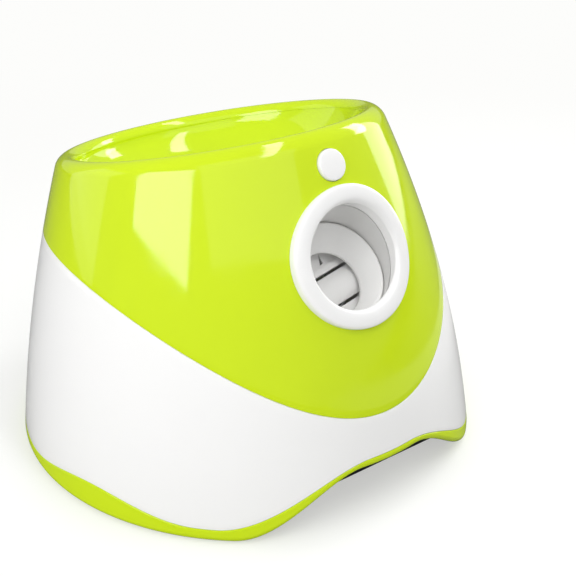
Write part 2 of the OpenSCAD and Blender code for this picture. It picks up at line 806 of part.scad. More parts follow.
module ball_lever() {
    color(steel) in_chute() {
        difference() {
            union() {
                translate([-lever_x, -lever_hub_w / 2, lever_z]) rotate([-90, 0, 0])
                    cylinder(r = lever_hub_r, h = lever_hub_w);
                translate([-lever_x - lever_t / 2, -lever_w / 2, lever_z + 1])
                    cube([lever_t, lever_w, lever_top - 1]);
                translate([-lever_x, -lever_w / 2, lever_z + lever_low])
                    cube([lever_x - chute_r + lever_reach, lever_w, lever_top - lever_low]);
            }
            translate([-lever_x, -5, lever_z]) rotate([-90, 0, 0])
                cylinder(r = lever_pin_r + run_gap, h = 10);
        }
    }
}

module lever_pin() {
    half = ear_from + ear_t;
    color(steel) in_chute() translate([-lever_x, -half, lever_z]) rotate([-90, 0, 0])
        cylinder(r = lever_pin_r, h = 2 * half);
}

lip_r = cup_r - 2.3;
lip_edge = 0.8;
seat_t = 1.6;
pocket_r = cup_r - 4.5;
land_w = 3.6;
step_h = 1.8;

// Along the bar across the cup's floor: +X towards the underside, +Y inward
module along_bar(y, z) {
    rotate([0, 0, -bar_angle]) translate([0, y, z]) rotate([90, 0, 90])
        translate([0, 0, -cup_r]) children();
}

// Tapered seat, from beyond the lip to the opening below it
module cup_seat() {
    function ring(r, y, z) = [for (j = [0:around - 1])
        [r * cos(360 * j / around), y + r * sin(360 * j / around), z]];
    ring_stack([
        ring(lip_r + 2 * lip_edge, 0, -lip_edge),
        ring(lip_r, 0, lip_edge),
        ring(seat_r, seat_offset, seat_depth),
        ring(seat_r, seat_offset, seat_depth + seat_t + 1)
    ]);
}

// Slots beside the bar, the step beyond them and a small window
module cup_slots() {
    side = bar_w / 2 - 0.3;
    edge = bar_offset - side - slot_t;
    intersection() {
        translate([0, 0, floor_depth - 1]) cylinder(r = pocket_r - 1, h = 2 * deep);
        union() {
            for (y = [edge, bar_offset + side]) along_bar(y, floor_depth - 1)
                cube([slot_t, deep, 2 * cup_r]);
            along_bar(edge - land_w - cup_r, floor_depth - 1) cube([cup_r, 1 + step_h, 2 * cup_r]);
        }
    }
    rotate([0, 0, -bar_angle]) translate([6.5, edge - land_w - 1.4, floor_depth])
        linear_extrude(deep) polygon([[0, 0], [2.6, -0.4], [3.3, -6.3]]);
}

module piston_cup() {
    back = floor_depth + cup_floor_t;
    skirt_in = cup_r - cup_wall;
    guide_h = 5;
    bar_r = (bar_w * bar_w / 4 + bar_h * bar_h) / 2 / bar_h;
    color(white) in_barrel() translate([0, 0, cup_rest]) difference() {
        union() {
            difference() {
                rotate_extrude($fn = 96) polygon([
                    [0, 0], [cup_r - lip_edge, 0], [cup_r, lip_edge], [cup_r, cup_len], [skirt_in, cup_len],
                    [skirt_in, back], [spring_guide_r, back], [spring_guide_r, back + guide_h],
                        [0, back + guide_h]
                ]);
                cup_seat();
                translate([0, 0, seat_depth + seat_t])
                    cylinder(r = pocket_r, h = floor_depth - seat_depth - seat_t);
            }
            intersection() {
                cylinder(r = pocket_r + 0.7, h = floor_depth + 1.3);
                along_bar(bar_offset, floor_depth - bar_h + bar_r) intersection() {
                    cylinder(r = bar_r, h = 2 * cup_r, $fn = 96);
                    translate([-bar_w, -bar_r, 0]) cube([2 * bar_w, bar_h + 1, 2 * cup_r]);
                }
            }
        }
        cup_slots();
        translate([-rack_w / 2 - 0.05, rack_top - 0.05, -1]) cube([rack_w + 0.1, 10, cup_len + 2]);
    }
}

module piston_rack() {
    bar_front = rack_front - rack_pitch / 2;
    bar_rear = rack_rear + rack_pitch / 2;
    half = rack_pitch / 4 - tooth_play / 2;
    color(white) in_barrel() {
        translate([-rack_w / 2, rack_top, bar_front])
            cube([rack_w, rack_root - rack_top + tiny, bar_rear - bar_front]);
        for (k = [0:sector_teeth - 1]) translate([0, rack_drop, rack_rear - k * rack_pitch])
            rotate([0, -90, 0])
            linear_extrude(rack_w, center = true) polygon([
                [-half - dedendum * rack_m * tan(pressure), -dedendum * rack_m],
                [-half + addendum * rack_m * tan(pressure), addendum * rack_m],
                [half - addendum * rack_m * tan(pressure), addendum * rack_m],
                [half + dedendum * rack_m * tan(pressure), -dedendum * rack_m]]);
    }
}

module main_spring() {
    seat = cup_rest + floor_depth + cup_floor_t + 0.1;
    coil_r = spring_guide_r + 5;
    color(steel) in_barrel() translate([0, 0, seat]) coil(coil_r, coil_r, barrel_end - seat + 0.2, 8, 1.2);
}

// ---- Drive ----

// Upright plate seen from the side: list of [y, z] corners, standing at x
module side_plate(corners, x) {
    along_x(0, 0, x) linear_extrude(plate_t) polygon(corners);
}
lug_a = barrel_point(lug_s[0]);
lug_b = barrel_point(lug_s[1]);
function beside(p, y, z) = [p[1] + y, p[2] + z];
plate_feet_y = [base_y - recess_y + tray_t + foot_flange, lug_b[1] - 14];
plate_base = [
    [plate_feet_y[0] - foot_end, tray_top],
    [plate_feet_y[1] + 2 * foot_end, tray_top],
    beside(lug_b, 12, -22),
    beside(lug_b, 12, 8)
];
plate_front = [
    beside(lug_a, 8, 11),
    beside(lug_a, -10, 3),
    beside(second, -29, 14),
    beside(second, -29, -5)
];
plate_right = concat(plate_base, [beside(first, 21, 7), beside(first, 19, 33)], plate_front);
plate_left = concat(plate_base, [beside(lug_b, -14, 20)], plate_front);
plate_far = [
    beside(second, -31, 14),
    beside(second, -31, -7),
    beside(sector, 14, -33),
    beside(sector, 34, -34),
    beside(motor, 20, -30),
    beside(motor, 20, 10),
    beside(first, 19, 35),
    beside(first, 1, 35)
];
spacer_spots = [
    beside(sector, 24, -24),
    beside(second, -24.5, 5.5),
    beside(first, 9, 27),
    beside(motor, 11, -24)
];
spacer_r = 4;
bush_r = 4.5;

module plate_holes() {
    for (s = lug_s) along_x(barrel_point(s)[1], barrel_point(s)[2], -60) cylinder(r = screw_hole_r, h = 120);
    along_x(sector[1], sector[2], -60) cylinder(r = bush_r, h = 120);
}

module plate_foot(x) {
    translate([x, plate_feet_y[0] - foot_end, tray_top])
        cube([foot_flange, plate_feet_y[1] - plate_feet_y[0] + 2 * foot_end, plate_t]);
}

module foot_holes(side) {
    for (y = plate_feet_y) translate([side * foot_screw_x, y, 0]) cylinder(r = screw_hole_r, h = 20);
}

module frame_plate_left() {
    color(black) difference() {
        union() {
            side_plate(plate_left, -plate_out);
            plate_foot(-plate_x - tiny);
        }
        plate_holes();
        foot_holes(-1);
    }
}

module frame_plate_right() {
    color(black) difference() {
        union() {
            side_plate(plate_right, plate_x);
            plate_foot(plate_x - foot_flange + tiny);
        }
        plate_holes();
        foot_holes(1);
        for (c = [second, first]) along_x(c[1], c[2], plate_x - 1) cylinder(r = axle_r, h = 10);
        for (p = spacer_spots) along_x(p[0], p[1], plate_x - 1) cylinder(r = screw_r, h = 10);
    }
}

module gearbox_plate() {
    color(black) difference() {
        side_plate(plate_far, far_plate_x);
        along_x(sector[1], sector[2], far_plate_x - 1) cylinder(r = bush_r, h = 10);
        for (c = [second, first]) along_x(c[1], c[2], far_plate_x - 1) cylinder(r = axle_r, h = 10);
        for (p = spacer_spots) along_x(p[0], p[1], far_plate_x - 1) cylinder(r = screw_hole_r, h = 10);
        along_x(motor[1], motor[2], far_plate_x - 1) cylinder(r = 3.1, h = 10);
        for (z = [-8, 8]) along_x(motor[1], motor[2] + z, far_plate_x - 1) cylinder(r = screw_r, h = 10);
    }
}

module gearbox_spacers() {
    color(steel) for (p = spacer_spots) along_x(p[0], p[1], plate_out) tube(spacer_r, screw_r, gear_room);
}

module gear_axles() {
    color(steel) for (c = [second, first]) along_x(c[1], c[2], plate_x + 0.5)
        cylinder(r = axle_r, h = gear_room + 2 * plate_t - 1);
}

module bush(x, flange_first) {
    along_x(sector[1], sector[2], x) difference() {
        union() {
            cylinder(r = bush_r, h = plate_t + 1);
            translate([0, 0, flange_first ? 0 : plate_t]) cylinder(r = bush_r + 2, h = 1);
        }
        translate([0, 0, -1]) cylinder(r = shaft_r + run_gap, h = plate_t + 4);
    }
}

module shaft_bushes() {
    color([0.7, 0.55, 0.3]) {
        bush(-plate_out, false);
        bush(plate_x - 1, true);
        bush(far_plate_x, false);
    }
}

clip_t = 0.8;
shaft_from = -plate_out - 1.4;
shaft_to = far_plate_x + plate_t + 2.4;

module sector_shaft() {
    color(steel) along_x(sector[1], sector[2], shaft_from) cylinder(r = shaft_r, h = shaft_to - shaft_from);
}

module shaft_clips() {
    color(steel) for (x = [shaft_from + 0.3, shaft_to - 0.3 - clip_t])
        along_x(sector[1], sector[2], x) tube(shaft_r + 2, shaft_r, clip_t);
}

module sector_gear() {
    width = rack_w - 1;
    color(white) along_x(sector[1], sector[2], 0) difference() {
        union() {
            translate([0, 0, -width / 2]) linear_extrude(width)
                polygon(sector_outline(rack_m, sector_full, sector_teeth, 90 - barrel_angle));
            translate([0, 0, -width / 2 - 5]) cylinder(r = shaft_r + 3.5, h = width + 10);
        }
        translate([0, 0, -20]) cylinder(r = shaft_r, h = 40);
    }
}

module drive_wheel() {
    color(white) along_x(sector[1], sector[2], layer_1) difference() {
        union() {
            gear(slow_m, wheel_teeth, second_dir, layer_w);
            translate([0, 0, -1]) cylinder(r = shaft_r + 3, h = layer_w + 6);
        }
        translate([0, 0, -5]) cylinder(r = shaft_r, h = 20);
        for (a = [0:60:300]) rotate([0, 0, a]) translate([12.5, 0, -1]) cylinder(r = 3, h = 10);
    }
}

// Two wheels moulded in one, running on a fixed axle
module double_gear(place, small_m, small_turn, small_x, large_turn, large_x) {
    color(white) along_x(place[1], place[2], 0) difference() {
        union() {
            translate([0, 0, small_x]) gear(small_m, small_teeth, small_turn, large_x - small_x + tiny);
            translate([0, 0, large_x]) gear(fast_m, wheel_teeth, large_turn, layer_w - 0.4);
        }
        translate([0, 0, small_x - 1]) cylinder(r = axle_r + run_gap, h = 20);
    }
}

half_turn = 180;

module second_gear() {
    double_gear(second, slow_m, second_dir + half_turn + half_turn / small_teeth, layer_1, first_dir,
        layer_2);
}

module first_gear() {
    double_gear(first, fast_m, first_dir + half_turn + half_turn / small_teeth, layer_2, motor_dir, layer_3);
}

module motor_pinion() {
    color([0.7, 0.55, 0.3]) along_x(motor[1], motor[2], layer_3 - 0.6) difference() {
        gear(fast_m, pinion_teeth, motor_dir + half_turn + half_turn / pinion_teeth, layer_w + 0.8);
        translate([0, 0, -1]) cylinder(r = motor_shaft_r, h = 20);
    }
}

module motor_shaft() {
    color(steel) along_x(motor[1], motor[2], layer_3 - 1.2)
        cylinder(r = motor_shaft_r, h = far_plate_x + plate_t + 8 - layer_3 + 1.2);
}

module drive_motor() {
    face = far_plate_x + plate_t;
    color(steel) along_x(motor[1], motor[2], 0) difference() {
        union() {
            translate([0, 0, face]) cylinder(r = motor_r, h = motor_len);
            translate([0, 0, face - 2]) cylinder(r = 3, h = 3);
            translate([0, 0, face + motor_len - tiny]) cylinder(r = 4, h = 2);
            for (side = [-1, 1]) translate([side * 9 - 0.4, -2, face + motor_len - tiny]) cube([0.8, 4, 6]);
        }
        translate([0, 0, face - 3]) cylinder(r = motor_shaft_r + run_gap, h = 12);
        for (y = [-8, 8]) translate([0, y, face - 1]) cylinder(r = screw_r, h = 5);
    }
}

// ---- Batteries and power ----

cell_rows = [-1, 0, 1];

module battery_box() {
    color(black) difference() {
        translate([-box_x, box_y, tray_top]) cube([2 * box_x, box_w, box_top - tray_top]);
        translate([-box_x + box_t, box_y + box_t, tray_top - 1])
            cube([2 * box_x - 2 * box_t, box_w - 2 * box_t, box_top - box_t - tray_top + 1]);
    }
}

module battery_cells() {
    color([0.25, 0.27, 0.3]) for (row = cell_rows) for (side = [0, 1])
        translate([-cell_len - pin_len / 2 + side * (cell_len + pin_len), row_y + row * row_step, cell_z])
            rotate([0, 90, 0]) {
                cylinder(r = cell_r, h = cell_len);
                translate([0, 0, cell_len - tiny]) cylinder(r = 2.8, h = pin_len);
            }
}

module contact_plates() {
    reach = box_x - box_t - 0.6;
    color(steel) for (row = cell_rows) {
        y = row_y + row * row_step;
        translate([-box_x + box_t + 0.1, y - 9, cell_z - 9]) cube([0.5, 18, 18]);
        translate([reach, y - 9, cell_z - 9]) cube([0.5, 18, 18]);
        translate([cell_len + pin_len * 1.5 + 0.1, y, cell_z]) rotate([0, 90, 0])
            cylinder(r = 3.5, h = reach - cell_len - pin_len * 1.5);
    }
}

module contact_springs() {
    from = -box_x + box_t + 0.6;
    to = -cell_len - pin_len / 2;
    color(steel) for (row = cell_rows)
        translate([from, row_y + row * row_step, cell_z]) rotate([0, 90, 0])
            coil(6, 3.5, to - from - 0.05, 3, 0.5);
}

module battery_door() {
    play = 0.4;
    color(black) difference() {
        union() {
            translate([-door_x + play, door_y + play, tray_z + 0.2])
                cube([2 * door_x - 2 * play, door_w - 2 * play, tray_t - 0.2]);
            translate([-8, door_y + door_w - play - tiny, tray_z - 1]) cube([16, 6, 0.9]);
            translate([-8, door_y + door_w - play - 6, tray_z - 1]) cube([16, 6 + tiny, 2]);
        }
        translate([0, door_screw_y, 0]) cylinder(r = screw_hole_r - 0.1, h = deep);
    }
}

module door_screw() {
    color(steel) translate([0, door_screw_y, tray_z - 1]) mirror([0, 0, 1]) screw(screw_r, 3.6, 2.4, 1.2);
}

module power_inlet() {
    flange_r = inlet_neck_r + 1.6;
    seat = skin(180, inlet_z - flange_r)[1] - skin(180, inlet_z)[1] + 0.1;
    color(black) translate(skin(180, inlet_z)) rotate([-90, 0, 0]) difference() {
        union() {
            translate([0, 0, -12]) cylinder(r = inlet_neck_r - 0.05, h = seat + 12.5);
            translate([0, 0, seat]) cylinder(r = flange_r, h = 1);
            translate([0, 0, -7.2]) tube(inlet_neck_r + 1.8, inlet_neck_r - 0.1, 2);
        }
        difference() {
            translate([0, 0, -8]) cylinder(r = inlet_r, h = 20);
            translate([0, 0, -9]) cylinder(r = 1, h = seat + 9);
        }
    }
}

// ---- Controls ----

button_lean = front_lean(button_z);

// On the button: +Z points out of the body along the button's travel
module in_button() {
    translate(skin(0, button_z)) rotate([90 - button_lean, 0, 0]) children();
}
button_proud = 1.8;
cap_low = -6;
flange_t = 1.2;
stem_low = cap_low - flange_t - 1.4;
guide_top = -3.9;
guide_low = -12.2;

module power_button() {
    color(white) in_button() {
        rotate_extrude() polygon([[0, cap_low], [button_r, cap_low], [button_r, button_proud - 1],
            [button_r - 0.3, button_proud - 0.4], [button_r - 1, button_proud], [0, button_proud + 0.5]]);
        translate([0, 0, cap_low - flange_t]) cylinder(r = button_r + 1.4, h = flange_t + tiny);
        translate([0, 0, stem_low]) cylinder(r = 1.8, h = 2);
    }
}

module button_guide() {
    color(black) in_button() difference() {
        translate([0, 0, guide_low]) cylinder(r = button_r + 3.4, h = guide_top - guide_low);
        translate([0, 0, guide_low + 0.8]) cylinder(r = button_r + 1.9, h = 20);
        translate([-4, -20, guide_low + 1]) cube([8, 20, 3]);
    }
}

module button_switch() {
    low = guide_low + 0.85;
    color([0.1, 0.35, 0.2]) in_button() difference() {
        union() {
            translate([0, 0, low]) cylinder(r = button_r + 1.6, h = 0.6);
            translate([-3, -3, low]) cube([6, 6, 0.7]);
            translate([0, 0, low]) cylinder(r = 1.6, h = stem_low - button_travel - 0.15 - low);
        }
    }
}

module button_spring() {
    low = guide_low + 1.45;
    color(steel) in_button() translate([0, 0, low]) coil(5.6, 5.6, cap_low - flange_t - low - 0.05, 3, 0.25);
}

module main_board() {
    color([0.1, 0.35, 0.2]) difference() {
        translate([board_x, board_y, board_z]) cube([board_w, board_len, 1.6]);
        for (post = board_posts) translate([board_x + post[0], board_y + post[1], 0])
            cylinder(r = 1.1, h = 40);
    }
}

module board_parts() {
    top = board_z + 1.6;
    color(black) {
        translate([board_x + 10, board_y + 12, top]) cube([9, 9, 1.6]);
        translate([board_x + 26, board_y + 10, top]) cube([12, 16, 14]);
        translate([board_x + 26, board_y + 32, top]) cube([12, 16, 14]);
        translate([board_x + 13, board_y + 34, top]) cylinder(r = 6, h = 9);
        for (k = [0:3]) translate([board_x + 8 + 8 * k, board_y + board_len - 16, top]) cube([6, 8, 6]);
    }
    color(steel) for (k = [0:1]) translate([board_x + 12, board_y + 47 + 9 * k, top])
        cylinder(r = 3.2, h = 11);
}

// ---- Fasteners ----

module case_screws() {
    color(steel) {
        for (a = boss_angles) translate(boss_spot(a) + [0, 0, tray_z + 1]) mirror([0, 0, 1])
            screw(case_screw_r, 16);
        for (a = link_angles) translate(link_spot(a) - [0, 0, link_depth + link_t]) mirror([0, 0, 1])
            screw(case_screw_r, link_t + 10);
        for (post = board_posts) translate([board_x + post[0], board_y + post[1], board_z + 1.6])
            screw(1, 6, 2, 1.2);
    }
}

module frame_screws() {
    color(steel) {
        for (side = [-1, 1]) for (s = lug_s)
            translate([side * plate_out, barrel_point(s)[1], barrel_point(s)[2]])
            rotate([0, side * 90, 0]) screw(screw_r, plate_out - bore_r - 0.8, 2.8, 1.2);
        for (side = [-1, 1]) for (y = plate_feet_y) translate([side * foot_screw_x, y, tray_top + plate_t])
            screw(screw_r, plate_t + 2.5);
    }
}

module gearbox_screws() {
    color(steel) {
        for (p = spacer_spots) translate([far_plate_x + plate_t, p[0], p[1]]) rotate([0, 90, 0])
            screw(screw_r, 10);
        for (p = spacer_spots) translate([plate_x, p[0], p[1]]) rotate([0, -90, 0])
            screw(screw_r, 7, 2.6, 1);
        for (z = [-8, 8]) translate([far_plate_x, motor[1], motor[2] + z]) rotate([0, -90, 0])
            screw(screw_r, 5, 2, 0.8);
    }
}

base_tray();
rubber_feet();
base_band();
lower_shell();
upper_shell();
hopper_funnel();
muzzle_ring();
ball_chute();
barrel_tube();
barrel_cap();
frame_plate_left();
frame_plate_right();
gearbox_plate();
gearbox_spacers();
gear_axles();
shaft_bushes();
drive_motor();
battery_box();
battery_cells();
contact_plates();
contact_springs();
battery_door();
door_screw();
power_inlet();
main_board();
board_parts();
button_guide();
button_switch();
ball_switch();
case_screws();
frame_screws();
gearbox_screws();
piston_cup();
piston_rack();
main_spring();
sector_gear();
drive_wheel();
sector_shaft();
shaft_clips();
second_gear();
first_gear();
motor_pinion();
motor_shaft();
power_button();
button_spring();
ball_lever();
lever_pin();
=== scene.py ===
"""Finished surfaces, inner wiring, finishes and studio for an automatic ball launcher."""

import json
import math

import bpy
from mathutils import Matrix, Vector


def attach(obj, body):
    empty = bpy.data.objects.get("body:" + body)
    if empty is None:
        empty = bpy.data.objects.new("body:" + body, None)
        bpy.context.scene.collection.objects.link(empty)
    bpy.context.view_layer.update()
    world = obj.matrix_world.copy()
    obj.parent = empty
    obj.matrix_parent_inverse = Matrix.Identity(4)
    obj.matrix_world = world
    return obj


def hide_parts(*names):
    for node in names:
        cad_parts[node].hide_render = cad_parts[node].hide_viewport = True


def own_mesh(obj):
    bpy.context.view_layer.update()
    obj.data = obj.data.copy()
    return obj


bl_info = {
    "name": "Ball launcher",
    "version": (1, 0, 0),
    "blender": (4, 5, 0),
    "location": "3D View > Sidebar > Launcher",
    "description": "Moulded shells, wiring, finishes and studio of a ball launcher",
    "category": "Object",
}

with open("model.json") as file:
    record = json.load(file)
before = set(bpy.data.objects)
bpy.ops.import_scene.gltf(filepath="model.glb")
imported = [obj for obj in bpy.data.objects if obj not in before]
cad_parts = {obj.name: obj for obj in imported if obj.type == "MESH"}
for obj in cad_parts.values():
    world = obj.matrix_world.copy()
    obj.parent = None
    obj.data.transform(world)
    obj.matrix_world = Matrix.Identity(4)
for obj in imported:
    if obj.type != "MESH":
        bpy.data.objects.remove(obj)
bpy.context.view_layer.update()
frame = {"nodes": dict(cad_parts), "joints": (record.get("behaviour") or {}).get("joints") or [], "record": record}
MM = 0.001
# Sections of a coil's wire in one turn
COIL_STEPS = 32
# Columns of a skin that goes round the body, and of the ring's
BODY_COLUMNS = 288
RING_COLUMNS = 192
# Radius that rounds a shell's edge at a seam, in millimetres
SEAM_EDGE_R = 0.45


# ---- Sizes and colours that a user would change ----

def length(name, description, default):
    return bpy.props.FloatProperty(
        name=name, description=description, default=default * MM, unit="LENGTH", precision=5)


def degrees(name, description, default):
    return bpy.props.FloatProperty(
        name=name, description=description, default=math.radians(default), subtype="ANGLE")


def colour(name, description, default):
    return bpy.props.FloatVectorProperty(
        name=name, description=description, default=default, subtype="COLOR", size=3, min=0, max=1)


class BodySizes(bpy.types.PropertyGroup):
    """Outline of the launcher's body."""
    base_r: length("Base radius", "Radius of the body near the floor", 137.5)
    neck_z: length("Neck height", "Height at which the upper radius is measured", 157)
    neck_r: length("Neck radius", "Radius of the body at the neck", 102.5)
    bulge: length("Bulge", "Outward bulge of the side", 4.6)
    lean: length("Lean", "Distance the body leans back by the neck", 14.6)
    wall: length("Wall", "Thickness of the shells", 2.6)
    seam_gap: length("Seam", "Gap along the seam between two shells", 0.2)
    tongue_h: length("Tongue height", "Height of the tongue that lines a seam", 5)
    tongue_t: length("Tongue thickness", "Thickness of that tongue", 1.8)
    rim_z: length("Rim height", "Height of the rim's crest over its centre", 176.8)
    rim_y: length("Rim centre", "Distance of the rim's centre behind the body's", 26.6)
    rim_tilt: degrees("Rim tilt", "Angle by which the rim falls towards the back", 14.9)
    crest_inset: length("Crest inset", "Distance of the crest inside the body's side", 4.2)
    lip_w: length("Lip width", "Width of the rolled lip", 11)
    lip_h: length("Lip height", "Height of the rolled lip", 6)
    seam_arc_y: length("Seam arc centre", "Distance of the seam arc's centre behind the body's", 34.8)
    seam_arc_z: length("Seam arc height", "Height of the seam arc's centre", -103.8)
    seam_arc_r: length("Seam arc radius", "Radius of the seam arc, seen from the side", 229.8)
    band_low: length("Band height", "Height of the floor band between its feet", 8)
    band_hump: length("Band hump", "Extra height of the band over a side foot", 8.6)
    foot_angle: degrees("Foot direction", "Direction of the side feet from the front", 76)
    arch_h: length("Arch height", "Height of the front and back arch", 32)
    arch_flat: degrees("Arch top", "Angle where the arch starts to fall", 8)
    arch_end: degrees("Arch end", "Angle where the arch meets the floor", 40)
    band_over_arch: length("Band over arch", "Height of the band above the arch", 5.5)
    edge_r: length("Band edge", "Radius of the band's lower edge", 4)
    band_w: length("Band width", "Width of the band's underside", 8)
    band_lift: length("Band lift", "Gap between the band and the floor", 0.6)
    inlet_z: length("Inlet height", "Height of the power inlet's centre", 70)
    inlet_r: length("Inlet hole", "Radius of the power inlet's hole", 6.2)


class MuzzleSizes(bpy.types.PropertyGroup):
    """Muzzle ring, barrel mouth, chute neck, button and springs."""
    muzzle_z: length("Muzzle height", "Height of the muzzle's centre", 140.9)
    ring_tilt: degrees("Ring tilt", "Upward lean of the ring's face", 26)
    ring_r: length("Ring radius", "Outer radius of the muzzle ring", 38.6)
    mouth_r: length("Mouth radius", "Radius of the mouth", 28.2)
    ring_h: length("Ring height", "Height of the ring's face over the body", 3.4)
    neck_out_r: length("Ring neck radius", "Radius of the ring's neck inside the body", 36.5)
    neck_depth: length("Ring neck depth", "Depth of the ring's neck", 9)
    barrel_angle: degrees("Barrel angle", "Elevation of the barrel", 45)
    bore_r: length("Bore radius", "Radius of the barrel's bore", 29.4)
    cup_gap: length("Cup clearance", "Clearance of the cup in the barrel", 0.4)
    fit_gap: length("Hole clearance", "Clearance of the ring and the button in the shell", 0.3)
    chute_s: length("Chute place", "Distance along the barrel to the chute", 58)
    chute_tilt: degrees("Chute tilt", "Angle of the chute from the vertical", 35)
    chute_r: length("Chute radius", "Inner radius of the chute", 28)
    chute_h: length("Chute height", "Height of the chute over the barrel's axis", 39)
    bowl_t: length("Bowl wall", "Thickness of the bowl", 1.9)
    button_z: length("Button height", "Height of the button's centre", 185.4)
    button_r: length("Button radius", "Radius of the button", 8.6)
    button_proud: length("Button height over shell", "Distance the button stands out", 1.8)
    spring_r: length("Main spring radius", "Radius of the main spring's coil", 17)
    spring_wire: length("Main spring wire", "Radius of the main spring's wire", 1.2)
    spring_front: length("Main spring front", "Distance along the barrel to its end at the cup", 39.6)
    spring_back: length("Main spring back", "Distance along the barrel to its end at the cap", 131.2)
    return_r: length("Button spring radius", "Radius of the button spring's coil", 5.6)
    return_wire: length("Button spring wire", "Radius of the button spring's wire", 0.25)
    return_front: length("Button spring front", "Height over the shell of its end at the button", -7.25)
    return_back: length("Button spring back", "Height over the shell of its end at the guide", -10.75)


class Tones(bpy.types.PropertyGroup):
    """Colours of the launcher's finishes and of the studio."""
    lime: colour("Lime", "Moulded lime plastic", (0.605, 0.78, 0.0105))
    white: colour("White", "Moulded white plastic", (0.91, 0.905, 0.895))
    acetal: colour("Acetal", "White sliding plastic of the inner parts", (0.92, 0.915, 0.9))
    # Painted shade: the barrel's white plastic is set darker than the acetal, for the shade inside the bore
    bore: colour("Bore", "White plastic of the barrel", (0.72, 0.715, 0.7))
    black: colour("Black", "Black structural plastic", (0.02, 0.021, 0.023))
    rubber: colour("Rubber", "Rubber of the feet", (0.022, 0.022, 0.023))
    steel: colour("Steel", "Turned steel", (0.56, 0.57, 0.58))
    zinc: colour("Zinc", "Plating of the screws and contacts", (0.66, 0.66, 0.62))
    brass: colour("Brass", "Brass and bronze", (0.66, 0.44, 0.16))
    jacket: colour("Jacket", "Film jacket of the cells", (0.03, 0.045, 0.07))
    board: colour("Board", "Solder mask of the circuit board", (0.01, 0.13, 0.045))
    floor: colour("Floor", "Floor and background of the studio", (0.98, 0.98, 0.965))


# ---- Outline of the body, in millimetres and degrees ----

# Angle through which the lip rolls before the bowl takes over
LIP_TURN = 165
# Angle to each side of a side foot's direction over which the band's hump falls away
HUMP_REACH = 28
# Rounds of the searches for a height on the leaning body, and over the ring's plane
HEIGHT_TRIES = 14
RING_TRIES = 9


def mix(a, b, t):
    return a + (b - a) * t


def sind(a):
    return math.sin(math.radians(a))


def cosd(a):
    return math.cos(math.radians(a))


def ease(low, high, x):
    t = min(1, max(0, (x - low) / (high - low)))
    return t * t * (3 - 2 * t)


